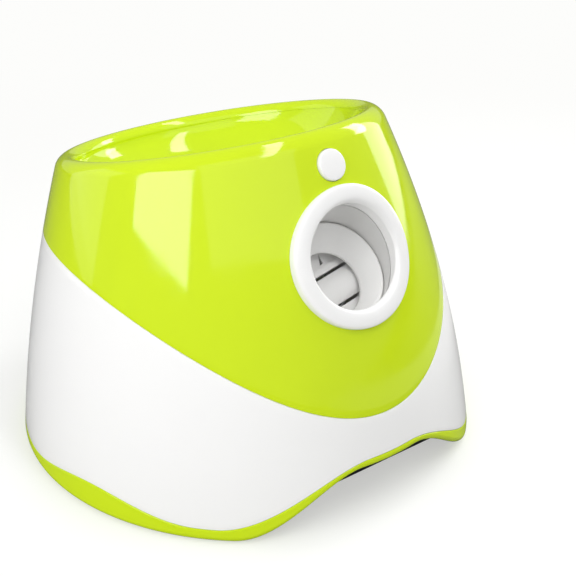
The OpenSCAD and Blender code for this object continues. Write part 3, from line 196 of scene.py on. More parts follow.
class Outline:
    """The body's surface, from the sizes of the panel."""

    def __init__(self, context):
        for group in (context.scene.launcher_body, context.scene.launcher_muzzle):
            for key in group.__annotations__:
                value = getattr(group, key)
                turned = key.endswith(("_tilt", "_angle", "_flat", "_end"))
                setattr(self, key, math.degrees(value) if turned else value / MM)
        self.muzzle = self.skin(0, self.muzzle_z)
        self.inward = Vector((0, cosd(self.barrel_angle), -sind(self.barrel_angle)))
        self.chute_up = Vector((0, sind(self.chute_tilt), cosd(self.chute_tilt)))
        self.chute_front = Vector((0, -cosd(self.chute_tilt), sind(self.chute_tilt)))

    def lean_back(self, z):
        rise = max(0, z - self.edge_r) / (self.neck_z - self.edge_r)
        return self.lean * (rise + rise * rise) / 2

    def body_y(self, z):
        return self.lean_back(z) - self.lean_back(self.band_lift + self.arch_h + self.edge_r)

    def body_r(self, z):
        t = z / self.neck_z
        return mix(self.base_r, self.neck_r, t) + 4 * self.bulge * t * (1 - t)

    def skin(self, a, z, inset=0.0):
        r = self.body_r(z) - inset
        return Vector((r * sind(a), self.body_y(z) - r * cosd(a), z))

    def front_lean(self, z):
        return math.degrees(math.atan((self.skin(0, z + 1)[1] - self.skin(0, z - 1)[1]) / 2))

    def arch_z(self, a):
        b = abs((a + 180) % 360 - 180)
        return self.arch_h * (1 - ease(self.arch_flat, self.arch_end, min(b, 180 - b)))

    def band_z(self, a):
        b = abs((a + 180) % 360 - 180)
        off = abs(b - self.foot_angle)
        hump = self.band_hump * (1 + cosd(180 * off / HUMP_REACH)) / 2 if off < HUMP_REACH else 0
        top = self.arch_h + self.band_over_arch - self.band_low
        return self.band_low + top * (1 - ease(self.arch_flat - 2, self.arch_end + 4, min(b, 180 - b))) + hump

    def seam_z(self, a):
        z = 90
        for _ in range(HEIGHT_TRIES):
            y = self.skin(a, z)[1] - self.seam_arc_y
            z = self.seam_arc_z + math.sqrt(self.seam_arc_r ** 2 - y * y)
        return z

    def crest_z(self, a):
        slope = math.tan(math.radians(self.rim_tilt))
        z = 176
        for _ in range(HEIGHT_TRIES):
            z = self.rim_z + (self.rim_y - self.skin(a, z, self.crest_inset)[1]) * slope
        return z

    def lip(self, a, turns, shrink=0.0):
        """Points of the rolled lip, from the outer side (0) over the crest to the bowl (180)."""
        low = self.crest_z(a) - self.lip_h
        outer = self.skin(a, low, shrink)
        inner = self.skin(a, low, self.lip_w - shrink)
        middle = (outer + inner) / 2
        up = (self.skin(a, low + self.lip_h) - self.skin(a, low)) * (self.lip_h - shrink) / self.lip_h
        down = Vector((0, 0, up[2]))
        points = []
        for turn in turns:
            past = turn > 90
            base = middle + up - down if past else middle
            points.append(base + (outer - middle) * cosd(turn) + (down if past else up) * sind(turn))
        return points

    def barrel_point(self, s):
        return self.muzzle + self.inward * s

    def throat(self, a, r):
        rise = self.chute_h + self.seam_gap
        return (self.barrel_point(self.chute_s) + self.chute_up * rise
                + Vector((r * sind(a), 0, 0)) + self.chute_front * (r * cosd(a)))

    def bowl(self, a, steps):
        """The bowl's inner wall from under the lip down to the chute's neck."""
        before, end = self.lip(a, [LIP_TURN - 1, LIP_TURN])
        down = (end - before) / (before - end)[2]
        p0 = end + down * self.seam_gap / 2
        p3 = self.throat(a, self.chute_r)
        depth = p0[2] - p3[2]
        p1 = p0 + down * 0.5 * depth
        p2 = Vector((mix(p3[0], p0[0], 0.42), mix(p3[1], p0[1], 0.42), p3[2] + 0.2 * depth))
        points = []
        for t in steps:
            u = 1 - t
            points.append(p0 * u ** 3 + p1 * 3 * u * u * t + p2 * 3 * u * t * t + p3 * t ** 3)
        return points

    def ring_skin(self, x, e):
        """Height of the body's skin over the ring's plane."""
        h = 0.0
        s, c = sind(self.ring_tilt), cosd(self.ring_tilt)
        for _ in range(RING_TRIES):
            y = self.muzzle[1] + e * s - h * c
            z = self.muzzle[2] + e * c + h * s
            r = self.body_r(z)
            h += (y - self.body_y(z) + math.sqrt(max(0, r * r - x * x))) * c
        return h

    def in_ring(self, x, e, h):
        s, c = sind(self.ring_tilt), cosd(self.ring_tilt)
        return Vector((x, self.muzzle[1] + e * s - h * c, self.muzzle[2] + e * c + h * s))

    def frame_at(self, place, normal):
        """A turned and placed frame whose Z runs along a direction in the plane x = 0, in metres."""
        z = Vector(normal).normalized()
        x = Vector((1, 0, 0))
        y = z.cross(x)
        turn = Matrix((x, y, z)).transposed().to_4x4()
        return Matrix.Translation(Vector(place) * MM) @ turn


# ---- Modelling helpers ----

def deselect():
    if bpy.context.object and bpy.context.object.mode != "OBJECT":
        bpy.ops.object.mode_set(mode="OBJECT")
    bpy.ops.object.select_all(action="DESELECT")


def take(piece):
    """Makes a piece the only one that operators act on."""
    deselect()
    piece.select_set(True)
    bpy.context.view_layer.objects.active = piece


def named(name):
    piece = bpy.context.object
    piece.name = piece.data.name = name
    return piece


def in_edit(piece, *steps):
    """Runs steps in edit mode on the whole mesh."""
    take(piece)
    bpy.ops.object.mode_set(mode="EDIT")
    bpy.ops.mesh.select_all(action="SELECT")
    for step in steps:
        step()
    bpy.ops.object.mode_set(mode="OBJECT")


def weld(distance=1e-7):
    bpy.ops.mesh.remove_doubles(threshold=distance)


def face_out():
    bpy.ops.mesh.normals_make_consistent(inside=False)


def apply_all(piece):
    take(piece)
    for modifier in list(piece.modifiers):
        bpy.ops.object.modifier_apply(modifier=modifier.name)


def settle(piece):
    """Leaves the piece's place in its mesh, with its object at the origin."""
    take(piece)
    bpy.ops.object.transform_apply(location=True, rotation=True, scale=True)
    return piece


def smooth(piece, angle):
    take(piece)
    bpy.ops.object.shade_smooth_by_angle(angle=math.radians(angle))


def wrap(name, columns, section):
    """A closed skin through one closed section per direction: a grid, bent round and welded."""
    loops = [section(360 * i / columns) for i in range(columns)]
    rows = len(loops[0])
    deselect()
    bpy.ops.mesh.primitive_grid_add(x_subdivisions=columns, y_subdivisions=rows, size=1)
    piece = named(name)
    for v in piece.data.vertices:
        i = round((v.co.x + 0.5) * columns) % columns
        j = round((v.co.y + 0.5) * rows) % rows
        v.co = Vector(loops[i][j]) * MM
    in_edit(piece, weld, face_out)
    return piece


def cutter(radius, depth, place, vertices=128):
    """A round bar along a frame's Z, from its origin on."""
    deselect()
    bpy.ops.mesh.primitive_cylinder_add(vertices=vertices, radius=radius * MM, depth=depth * MM)
    bar = named("cutter")
    bar.data.transform(place @ Matrix.Translation((0, 0, depth * MM / 2)))
    return bar


def cut(piece, bar):
    tool = piece.modifiers.new("hole", "BOOLEAN")
    tool.operation = "DIFFERENCE"
    tool.solver = "EXACT"
    tool.object = bar
    apply_all(piece)
    bpy.data.objects.remove(bar)


def rounded(points, times):
    """A line of points with its corners cut round, its ends kept."""
    for _ in range(times):
        line = [points[0]]
        for a, b in zip(points, points[1:]):
            for share in (0.25, 0.75):
                line.append(tuple(mix(p, q, share) for p, q in zip(a, b)))
        points = line + [points[-1]]
    return points


def lathe(name, profile, place, steps=96):
    """A turned piece: a profile of (radius, height) pairs spun round a frame's Z."""
    deselect()
    bpy.ops.mesh.primitive_plane_add(size=1)
    piece = named(name)
    bpy.ops.object.mode_set(mode="EDIT")
    bpy.ops.mesh.select_all(action="SELECT")
    bpy.ops.mesh.delete(type="ONLY_FACE")
    bpy.ops.object.mode_set(mode="OBJECT")
    mesh = piece.data
    mesh.clear_geometry()
    mesh.vertices.add(len(profile))
    mesh.edges.add(len(profile) - 1)
    for v, (r, h) in zip(mesh.vertices, profile):
        v.co = (r * MM, 0, h * MM)
    for i, edge in enumerate(mesh.edges):
        edge.vertices = (i, i + 1)
    mesh.update()
    in_edit(piece, lambda: bpy.ops.mesh.spin(
        steps=steps, angle=2 * math.pi, center=(0, 0, 0), axis=(0, 0, 1)), lambda: weld(1e-6), face_out)
    mesh.transform(place)
    return piece


def drawn(name, kind, lines, radius):
    """Round wires through lists of points, each wire one closed tube."""
    deselect()
    bpy.ops.curve.primitive_nurbs_path_add()
    path = bpy.context.object
    path.data.splines.clear()
    for line in lines:
        spline = path.data.splines.new(kind)
        spline.points.add(len(line) - 1)
        for point, place in zip(spline.points, line):
            point.co = (*(c * MM for c in place), 1)
        spline.order_u = 4
        spline.use_endpoint_u = True
    path.data.dimensions = "3D"
    path.data.resolution_u = 10
    path.data.bevel_depth = radius * MM
    path.data.bevel_resolution = 3
    path.data.use_fill_caps = True
    take(path)
    bpy.ops.object.convert(target="MESH")
    piece = settle(named(name))
    smooth(piece, 50)
    return piece


def coil(name, place, radius, wire, free, fixed, turns, joint):
    """A wire wound about a frame's Z from its free end to its fixed end; the joint's travel is looked up but
    nothing shortens the coil.
    """
    inset = math.copysign(wire, fixed - free)
    steps = turns * COIL_STEPS
    line = []
    for i in range(steps + 1):
        turn = 360 * i / COIL_STEPS
        height = mix(free + inset, fixed - inset, i / steps)
        line.append(place @ (Vector((radius * cosd(turn), radius * sind(turn), height)) * MM) / MM)
    piece = drawn(name, "POLY", [line], wire)
    travel = next(j["range_m"][1] for j in frame["joints"] if j["name"] == joint)
    1 - travel / (abs(fixed - free) * MM)
    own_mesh(piece)
    return piece


def finish_piece(piece, body, slot, material, *nodes):
    piece.data.materials.clear()
    piece.data.materials.append(material)
    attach(piece, body)
    if nodes:
        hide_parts(*nodes)


# ---- Shader maths ----

class Signal:
    """A socket of a finish that takes Python's operators."""

    def __init__(self, finish, socket):
        self.finish = finish
        self.socket = socket

    def join(self, operation, other, swapped=False):
        pair = (other, self) if swapped else (self, other)
        return self.finish.add("ShaderNodeMath", {"operation": operation}, *pair)

    def __add__(self, other):
        return self.join("ADD", other)

    def __sub__(self, other):
        return self.join("SUBTRACT", other)

    def __mul__(self, other):
        return self.join("MULTIPLY", other)

    def __pow__(self, other):
        return self.join("POWER", other)

    __radd__ = __add__
    __rmul__ = __mul__

    def __rsub__(self, other):
        return self.join("SUBTRACT", other, True)

    def between(self, low, high):
        """0 below a value, 1 above another, and smooth between them."""
        return self.finish.add("ShaderNodeMapRange", {"interpolation_type": "SMOOTHSTEP", "clamp": True},
                               self, low, high, 0.0, 1.0)


class Finish:
    """One material, built up from nodes."""

    def __init__(self, name, tone, roughness=0.4, metallic=0.0, **uniform):
        self.material = bpy.data.materials.new(name)
        self.material.use_nodes = True
        self.tree = self.material.node_tree
        self.tree.nodes.clear()
        self.tone = tuple(tone) + (1.0,)
        self.shader = self.tree.nodes.new("ShaderNodeBsdfPrincipled")
        output = self.tree.nodes.new("ShaderNodeOutputMaterial")
        self.tree.links.new(self.shader.outputs[0], output.inputs[0])
        self.surface(base_color=self.tone, roughness=roughness, metallic=metallic)
        for key, value in uniform.items():
            self.shader.inputs[key.replace("_", " ").title().replace("Ior", "IOR")].default_value = value
        self.place = self.add("ShaderNodeTexCoord", {}, output="Object")

    def add(self, kind, settings, *inputs, output=0, **by_name):
        """Adds a node: its settings first, then its sockets in order or by name."""
        node = self.tree.nodes.new(kind)
        for key, value in settings.items():
            setattr(node, key, value)
        pairs = list(enumerate(inputs)) + list(by_name.items())
        for key, value in pairs:
            socket = node.inputs[key] if isinstance(key, int) else node.inputs[key.replace("_", " ").title()]
            if isinstance(value, Signal):
                self.tree.links.new(value.socket, socket)
            else:
                socket.default_value = value
        return Signal(self, node.outputs[output])

    def surface(self, **values):
        for key, value in values.items():
            socket = self.shader.inputs[key.replace("_", " ").title()]
            if isinstance(value, Signal):
                self.tree.links.new(value.socket, socket)
            else:
                socket.default_value = value

    def noise(self, scale, detail, place=None):
        return self.add("ShaderNodeTexNoise", {"noise_dimensions": "3D"},
                        Vector=place or self.place, Scale=scale, Detail=detail, Roughness=0.5)

    def stretched(self, x, y, z):
        return self.add("ShaderNodeMapping", {"vector_type": "POINT"},
                        self.place, (0, 0, 0), (0, 0, 0), (x, y, z))

    def axes(self):
        """The three coordinates apart."""
        node = self.tree.nodes.new("ShaderNodeSeparateXYZ")
        self.tree.links.new(self.place.socket, node.inputs[0])
        return [Signal(self, out) for out in node.outputs]

    def blend(self, factor, first, second):
        """A colour between two colours."""
        node = self.tree.nodes.new("ShaderNodeMix")
        node.data_type = "RGBA"
        for index, value in ((0, factor), (6, first), (7, second)):
            if isinstance(value, Signal):
                self.tree.links.new(value.socket, node.inputs[index])
            else:
                node.inputs[index].default_value = value
        return Signal(self, node.outputs[2])

    def shade(self, amount):
        """The finish's own tone, made darker or lighter."""
        return tuple(min(1.0, c * amount) for c in self.tone[:3]) + (1.0,)

    def bump(self, height, strength, distance):
        normal = self.add("ShaderNodeBump", {}, Strength=strength, Distance=distance, Height=height)
        self.surface(normal=normal)


def moulded(name, tone, gloss, peel=0.05, mottle=0.05):
    """Moulded plastic: a faint orange peel, flow marks and the smudges of handling."""
    f = Finish(name, tone, specular_ior_level=0.5)
    cloud = f.noise(14.0, 3.0)
    flow = f.noise(40.0, 2.0, f.stretched(1.0, 1.0, 0.22))
    smudge = f.noise(55.0, 4.0).between(0.45, 0.75)
    f.surface(base_color=f.blend(cloud * 0.6 + flow * 0.4, f.shade(1 - mottle), f.shade(1 + mottle)),
              roughness=gloss + smudge * 0.07 + flow * 0.03)
    f.bump(f.noise(420.0, 1.0) * 0.7 + f.noise(1500.0, 1.0) * 0.3, peel, 0.0002)
    return f.material


def sliding(name, tone):
    """Acetal of the inner parts: satin, with fine ejector scuffs."""
    f = Finish(name, tone)
    scuff = f.noise(900.0, 3.0, f.stretched(1.0, 0.15, 0.15)).between(0.52, 0.72)
    cloud = f.noise(30.0, 3.0)
    f.surface(base_color=f.blend(cloud, f.shade(0.94), f.shade(1.03)),
              roughness=0.36 + scuff * 0.2 + cloud * 0.05)
    f.bump(f.noise(1200.0, 2.0), 0.08, 0.0001)
    return f.material


def grained(name, tone):
    """Black plastic with a spark-eroded grain."""
    f = Finish(name, tone)
    cells = f.add("ShaderNodeTexVoronoi", {"feature": "SMOOTH_F1"}, Vector=f.place, Scale=1100.0)
    cloud = f.noise(60.0, 3.0)
    f.surface(base_color=f.blend(cloud, f.shade(0.8), f.shade(1.35)),
              roughness=0.5 + cloud * 0.12 - cells * 0.1)
    f.bump(cells * 0.7 + f.noise(2300.0, 2.0) * 0.3, 0.35, 0.0002)
    return f.material


def brushed(name, tone, roughness=0.28, along=(0.03, 1.0, 1.0)):
    """Drawn or turned metal: fine lines along one axis and a faint patina."""
    f = Finish(name, tone, metallic=1.0)
    lines = f.noise(2600.0, 2.0, f.stretched(*along))
    patina = f.noise(80.0, 4.0)
    f.surface(base_color=f.blend(patina, f.shade(0.82), f.shade(1.1)),
              roughness=roughness + lines * 0.18 + patina * 0.08)
    f.bump(lines, 0.12, 0.0001)
    return f.material


def plated(name, tone):
    """Zinc plate: mottled, with a slightly yellow pool here and there."""
    f = Finish(name, tone, metallic=1.0)
    pool = f.noise(240.0, 4.0).between(0.4, 0.65)
    f.surface(base_color=f.blend(pool, f.shade(0.85), (0.78, 0.74, 0.6, 1.0)), roughness=0.26 + pool * 0.16)
    f.bump(f.noise(1800.0, 2.0), 0.08, 0.0001)
    return f.material


def dull_rubber(name, tone):
    f = Finish(name, tone)
    dust = f.noise(180.0, 5.0).between(0.5, 0.8)
    f.surface(base_color=f.blend(dust * 0.5, f.tone, (0.11, 0.105, 0.1, 1.0)), roughness=0.72 + dust * 0.18)
    f.bump(f.noise(1400.0, 3.0), 0.4, 0.0002)
    return f.material


def cell_finish(name, tone, cell, pin):
    """Battery cells: a film jacket with a bare steel rim and cap at both ends."""
    f = Finish(name, tone)
    x = f.axes()[0]
    along = f.add("ShaderNodeMath", {"operation": "PINGPONG"}, x + (cell + 1.5 * pin), cell + pin)
    steel = 1 - along.between(0.0016, 0.0019) * (1 - along.between(cell - 0.0004, cell - 0.0002))
    band = along.between(0.011, 0.0111)
    wrinkle = f.noise(500.0, 3.0, f.stretched(0.2, 1.0, 1.0))
    jacket = f.blend(band, (0.55, 0.34, 0.09, 1.0), f.tone)
    f.surface(base_color=f.blend(steel, jacket, (0.6, 0.6, 0.6, 1.0)), metallic=steel,
              roughness=0.22 + steel * 0.12 + wrinkle * 0.08)
    f.bump(wrinkle, 0.15, 0.0002)
    return f.material


def board_finish(name, tone):
    """Circuit board: solder mask over copper tracks, and tinned pads."""
    f = Finish(name, tone)
    tracks = f.add("ShaderNodeTexBrick", {"offset": 0.5, "squash": 0.6, "squash_frequency": 3},
                   Vector=f.place, Color1=(1, 1, 1, 1), Color2=(0.7, 0.7, 0.7, 1), Mortar=(0, 0, 0, 1),
                   Scale=90.0, Mortar_Size=0.03, output="Fac")
    pads = f.add("ShaderNodeTexVoronoi", {"feature": "F1"}, Vector=f.place, Scale=260.0, output="Distance")
    pad = 1 - pads.between(0.12, 0.16)
    mask = f.blend(tracks, f.shade(0.75), f.shade(1.8))
    f.surface(base_color=f.blend(pad, mask, (0.6, 0.58, 0.52, 1.0)), metallic=pad * 0.9,
              roughness=0.3 + tracks * 0.1)
    f.bump(tracks * 0.6 + pad * 0.4, 0.3, 0.0001)
    return f.material


def part_finish(name, tone):
    """Relays, plugs and capacitors: dark moulding with a paler top face."""
    f = Finish(name, tone)
    speck = f.noise(700.0, 3.0)
    tall = f.axes()[2].between(0.0205, 0.0215)
    f.surface(base_color=f.blend(tall, f.shade(1.0), f.shade(1.9)), roughness=0.38 + speck * 0.2)
    f.bump(speck, 0.15, 0.0001)
    return f.material


def sleeve(name, tone):
    """Soft insulation of a wire."""
    f = Finish(name, tone)
    wave = f.noise(320.0, 3.0)
    f.surface(base_color=f.blend(wave, f.shade(0.85), f.shade(1.15)), roughness=0.34 + wave * 0.14)
    f.bump(wave, 0.1, 0.0001)
    return f.material


# ---- Pieces ----

def seam_edge(shape, a, z, up):
    """Four points that round a shell's edge at a seam, up to its outer side."""
    side = 1 if up else -1
    r = SEAM_EDGE_R
    turned = [shape.skin(a, z + side * r * (1 - cosd(t)), r * (1 - sind(t))) for t in (0, 30, 60)]
    return turned + [shape.skin(a, z + side * r)]


def tongue(shape, a, high, root):
    """The tongue that stands behind a seam, from its outer face down to its root."""
    join = shape.wall + shape.seam_gap
    return [shape.skin(a, high, join), shape.skin(a, high + shape.tongue_h, join),
            shape.skin(a, high + shape.tongue_h, join + shape.tongue_t),
            shape.skin(a, high - root, join + shape.tongue_t)]


def button_frame(shape):
    """The button's frame on the shell's front: its Z points out."""
    lean = shape.front_lean(shape.button_z)
    return shape.frame_at(shape.skin(0, shape.button_z), (0, -cosd(lean), sind(lean)))


class LAUNCHER_OT_upper_shell(bpy.types.Operator):
    """Lime upper shell with its rolled lip, the ring's hole and the button's hole"""
    bl_idname = "launcher.upper_shell"
    bl_label = "Upper shell"

    def execute(self, context):
        shape = Outline(context)

        def section(a):
            low, high = shape.seam_z(a) + shape.seam_gap, shape.crest_z(a) - shape.lip_h
            outer = [shape.skin(a, mix(low + SEAM_EDGE_R, high, t / 34)) for t in range(1, 34)]
            lip = shape.lip(a, [t * LIP_TURN / 30 for t in range(31)])
            under = shape.lip(a, [LIP_TURN, 150, 120, 90, 60, 30, 0], shape.wall - 0.4)
            inner = [shape.skin(a, mix(low, high, t / 10), shape.wall) for t in range(9, -1, -1)]
            return seam_edge(shape, a, low, True) + outer + lip + under + inner

        piece = wrap("upper_shell_skin", BODY_COLUMNS, section)
        tilt = shape.ring_tilt
        cut(piece, cutter(shape.neck_out_r + shape.fit_gap, 40, shape.frame_at(
            shape.in_ring(0, 0, -25), (0, -cosd(tilt), sind(tilt)))))
        lean = shape.front_lean(shape.button_z)
        out = Vector((0, -cosd(lean), sind(lean)))
        start = shape.skin(0, shape.button_z) - out * 12
        cut(piece, cutter(shape.button_r + shape.fit_gap, 24, shape.frame_at(start, out)))
        smooth(piece, 40)
        finish_piece(piece, "housing", "lime_shell", bpy.data.materials["lime_gloss"], "upper_shell")
        return {"FINISHED"}


class LAUNCHER_OT_lower_shell(bpy.types.Operator):
    """White lower shell with its tongue behind the colour seam"""
    bl_idname = "launcher.lower_shell"
    bl_label = "Lower shell"

    def execute(self, context):
        shape = Outline(context)

        def section(a):
            low, high = shape.band_z(a) + shape.seam_gap, shape.seam_z(a)
            outer = [shape.skin(a, mix(low + SEAM_EDGE_R, high - SEAM_EDGE_R, t / 30)) for t in range(1, 30)]
            inner = [shape.skin(a, mix(low, high, t), shape.wall) for t in (0.8, 0.6, 0.4, 0.2, 0)]
            return (seam_edge(shape, a, low, True) + outer + seam_edge(shape, a, high, False)[::-1]
                    + tongue(shape, a, high, 5) + inner)

        piece = wrap("lower_shell_skin", BODY_COLUMNS, section)
        inlet_r, inlet_z = shape.inlet_r, shape.inlet_z
        inlet = Vector((0, shape.skin(180, inlet_z)[1] - 20, inlet_z))
        cut(piece, cutter(inlet_r, 40, shape.frame_at(inlet, (0, 1, 0)), 64))
        smooth(piece, 40)
        finish_piece(piece, "housing", "white_shell", bpy.data.materials["white_gloss"], "lower_shell")
        return {"FINISHED"}


class LAUNCHER_OT_base_band(bpy.types.Operator):
    """Lime band round the foot, with its arches and rounded lower edge"""
    bl_idname = "launcher.base_band"
    bl_label = "Base band"

    def execute(self, context):
        shape = Outline(context)

        def section(a):
            low, high = shape.band_lift + shape.arch_z(a), shape.band_z(a)
            r = shape.edge_r
            edge = [shape.skin(a, low + r * (1 - cosd(t)), r * (1 - sind(t))) for t in range(0, 91, 9)]
            outer = [shape.skin(a, mix(low + r, high - SEAM_EDGE_R, t / 10)) for t in range(1, 10)]
            return ([shape.skin(a, low, shape.band_w)] + edge + outer + seam_edge(shape, a, high, False)[::-1]
                    + tongue(shape, a, high, 1) + [shape.skin(a, mix(low, high, 0.5), shape.band_w)])

        piece = wrap("base_band_skin", BODY_COLUMNS, section)
        smooth(piece, 40)
        finish_piece(piece, "housing", "lime_shell", bpy.data.materials["lime_gloss"], "base_band")
        return {"FINISHED"}


class LAUNCHER_OT_hopper(bpy.types.Operator):
    """Lime bowl from under the lip to the neck of the chute"""
    bl_idname = "launcher.hopper"
    bl_label = "Hopper bowl"

    def execute(self, context):
        shape = Outline(context)
        wall = shape.bowl_t

        def section(a):
            side = Vector((sind(a) * wall, -cosd(a) * wall, 0))
            steps = [t / 48 for t in range(49)]
            front = shape.bowl(a, steps)
            back = [p + side - Vector((0, 0, wall * (1 - t ** 6)))
                    for p, t in zip(shape.bowl(a, steps[4:-1:4]), steps[4:-1:4])]
            return [shape.throat(a, shape.chute_r + wall)] + back[::-1] + [front[0] + side] + front

        piece = wrap("hopper_bowl", BODY_COLUMNS, section)
        smooth(piece, 40)
        finish_piece(piece, "housing", "lime_shell", bpy.data.materials["lime_gloss"], "hopper_funnel")
        return {"FINISHED"}


class LAUNCHER_OT_muzzle_ring(bpy.types.Operator):
    """White ring round the mouth, laid on the body's curve"""
    bl_idname = "launcher.muzzle_ring"
    bl_label = "Muzzle ring"

    def execute(self, context):
        shape = Outline(context)
        ring, mouth, high = shape.ring_r, shape.mouth_r, shape.ring_h
        face = rounded([(ring, 0.15), (ring, 1.6), (ring - 0.6, high - 0.5), (ring - 2.6, high),
                        (mouth + 4, high), (mouth + 1.3, high - 0.7), (mouth, 0.2), (mouth, -1.6)], 3)

        def section(a):
            def at(r, h):
                return shape.in_ring(r * cosd(a), r * sind(a), h)

            def seat(r):
                return shape.ring_skin(r * cosd(a), r * sind(a))

            def draw(r, h):
                full = mix(1.0, 0.75, ease(0.15, 1.8, h)) if r > ring - 1 else 0.75
                return at(r, full * seat(r) + h)

            neck_r, depth = shape.neck_out_r, shape.neck_depth
            return ([draw(r, h) for r, h in face]
                    + [at(mouth, mix(0.75 * seat(mouth) - 1.6, -depth, t)) for t in (0.35, 0.7, 1)]
                    + [at(neck_r, -depth), at(neck_r, seat(neck_r) + 0.15)])

        piece = wrap("muzzle_ring_skin", RING_COLUMNS, section)
        bar = cutter(shape.bore_r + shape.cup_gap, 60, shape.frame_at(shape.muzzle, shape.inward))
        plane = shape.in_ring(0, 0, -2) * MM
        normal = (shape.in_ring(0, 0, 1) - shape.in_ring(0, 0, 0)).normalized()
        in_edit(bar, lambda: bpy.ops.mesh.bisect(
            plane_co=plane, plane_no=normal, use_fill=True, clear_outer=True))
        cut(piece, bar)
        smooth(piece, 35)
        finish_piece(piece, "housing", "white_shell", bpy.data.materials["white_gloss"], "muzzle_ring")
        return {"FINISHED"}


class LAUNCHER_OT_button(bpy.types.Operator):
    """White power button with a soft crown and its flange"""
    bl_idname = "launcher.button"
    bl_label = "Power button"

    def execute(self, context):
        shape = Outline(context)
        r, proud = shape.button_r, shape.button_proud
        crown = rounded([(r, proud - 2.2), (r, proud - 0.35), (r - 1.2, proud + 0.1),
                         (r * 0.45, proud + 0.5), (0.001, proud + 0.5)], 3)
        profile = [(0.001, -8.6), (1.8, -8.6), (1.8, -7.2), (r + 1.4, -7.2), (r + 1.4, -6), (r, -6)] + crown
        piece = lathe("button_cap", profile, button_frame(shape))
        smooth(piece, 40)
        finish_piece(piece, "button", "white_shell", bpy.data.materials["button_gloss"], "power_button")
        return {"FINISHED"}


class LAUNCHER_OT_springs(bpy.types.Operator):
    """Steel coils of the main spring in the barrel and of the button's spring"""
    bl_idname = "launcher.springs"
    bl_label = "Springs"

    def execute(self, context):
        shape = Outline(context)
        steel = bpy.data.materials["spring_wire"]
        barrel = shape.frame_at(shape.muzzle, shape.inward)
        main_coil = coil("main_coil", barrel, shape.spring_r, shape.spring_wire,
                         shape.spring_front, shape.spring_back, 8, "piston_slide")
        finish_piece(main_coil, "housing", "spring_steel", steel, "main_spring")
        button_coil = coil("button_coil", button_frame(shape), shape.return_r, shape.return_wire,
                           shape.return_front, shape.return_back, 3, "button_press")
        finish_piece(button_coil, "housing", "spring_steel", steel, "button_spring")
        return {"FINISHED"}


class LAUNCHER_OT_finishes(bpy.types.Operator):
    """Makes the finishes and gives them to the carried-over parts"""
    bl_idname = "launcher.finishes"
    bl_label = "Finishes"

    def execute(self, context):
        tone = context.scene.launcher_tones
        made = {
            "lime_shell": moulded("lime_gloss", tone.lime, 0.05, 0.03),
            "white_shell": moulded("white_gloss", tone.white, 0.16, mottle=0.01),
            "white_part": sliding("acetal_satin", tone.acetal),
            "black_part": grained("black_grain", tone.black),
            "rubber_foot": dull_rubber("rubber_matt", tone.rubber),
            "steel": brushed("turned_steel", tone.steel),
            "spring_steel": brushed("spring_wire", tone.steel, 0.2, (1.0, 1.0, 0.1)),
            "zinc_screw": plated("zinc_plate", tone.zinc),
            "brass": brushed("turned_brass", tone.brass, 0.24),
            "cell_jacket": cell_finish("cell_film", tone.jacket, 0.0485, 0.0016),
            "circuit_board": board_finish("board_mask", tone.board),
        }
        moulded("button_gloss", tone.white, 0.16, mottle=0.01)
        # The barrel gets its own darker copy of the white plastic: painted shade for its bore
        own = {"board_parts": part_finish("board_part_moulding", tone.black),
               "barrel_tube": sliding("barrel_satin_painted_shade", tone.bore)}
        for entry in frame["record"]["subparts"]:
            node = frame["nodes"][entry["node"]]
            material = own.get(entry["node"]) or made[entry["material_slot"]]
            node.data.materials.clear()
            node.data.materials.append(material)
        return {"FINISHED"}


class LAUNCHER_OT_wiring(bpy.types.Operator):
    """Inner wires from the board to the motor, cells, switches and inlet"""
    bl_idname = "launcher.wiring"
    bl_label = "Wiring"

    def execute(self, context):
        routes = {
            "wire_red": ((0.5, 0.02, 0.015), [
                [(-70, 20, 22), (-70, 24, 34), (-52, 30, 44), (0, 26, 46),
                 (48, 2, 60), (84, -18, 74), (90, -30, 83)],
                [(-84, 22, 22), (-84, 26, 33), (-66, 30, 36), (-58, 34, 33), (-56.5, 40, 29)]]),
            "wire_black": ((0.015, 0.015, 0.016), [
                [(-76, 20, 22), (-76, 24, 35), (-54, 32, 46), (0, 29, 48),
                 (50, 4, 60), (84, -16, 66), (90, -30, 65)],
                [(-90, 22, 22), (-92, 28, 40), (-60, 70, 56), (-20, 100, 66), (-3, 116, 70)]]),
            "wire_white": ((0.7, 0.7, 0.68), [
                [(-88, 10, 22), (-100, -6, 40), (-92, -30, 90), (-62, -40, 112), (-48, -44, 122)],
                [(-95, 14, 22), (-104, 4, 50), (-92, -20, 130), (-50, -66, 160), (-8, -62, 172)]]),
        }
        for name, (tone, lines) in routes.items():
            piece = drawn(name, "NURBS", lines, 0.75)
            finish_piece(piece, "housing", "black_part", sleeve(name + "_sleeve", tone))
        return {"FINISHED"}


# ---- Studio ----

# Point that the lamps face, in metres
LAMP_TARGET = (0, 0, 0.13)
# Soft boxes: name, direction from the front, height angle, distance, size, power and roll
LAMPS = (
    ("left_box", -80, 26, 1.3, (0.8, 0.56), 7.6, 0.0),
    ("left_fill", -138, 14, 1.5, (1.0, 1.0), 2.6, 0.0),
    ("right_box", 88.5, 12, 1.3, (0.52, 0.68), 3.0, 0.0),
    ("right_key", 88, 27, 1.3, (0.26, 0.7), 5.2, -47),
    ("top_strip", 31, 72, 1.35, (0.19, 1.5), 7.0, -51),
    ("front_box", -20, 42, 1.7, (1.9, 1.3), 5.6, 0.0),
)
# The photograph's camera, solved from its ellipses: pixels, degrees, metres, and the sensor in millimetres
PHOTO_SIZE = 576
PHOTO_FOCAL = 1245.3
PHOTO_CENTRE = (246.0, 277.2)
CAMERA_AZIMUTH = -37.30
CAMERA_ELEVATION = 26.36
CAMERA_TARGET = (0, -0.001886, 0.091)
CAMERA_DISTANCE = 0.7446
SENSOR = 36


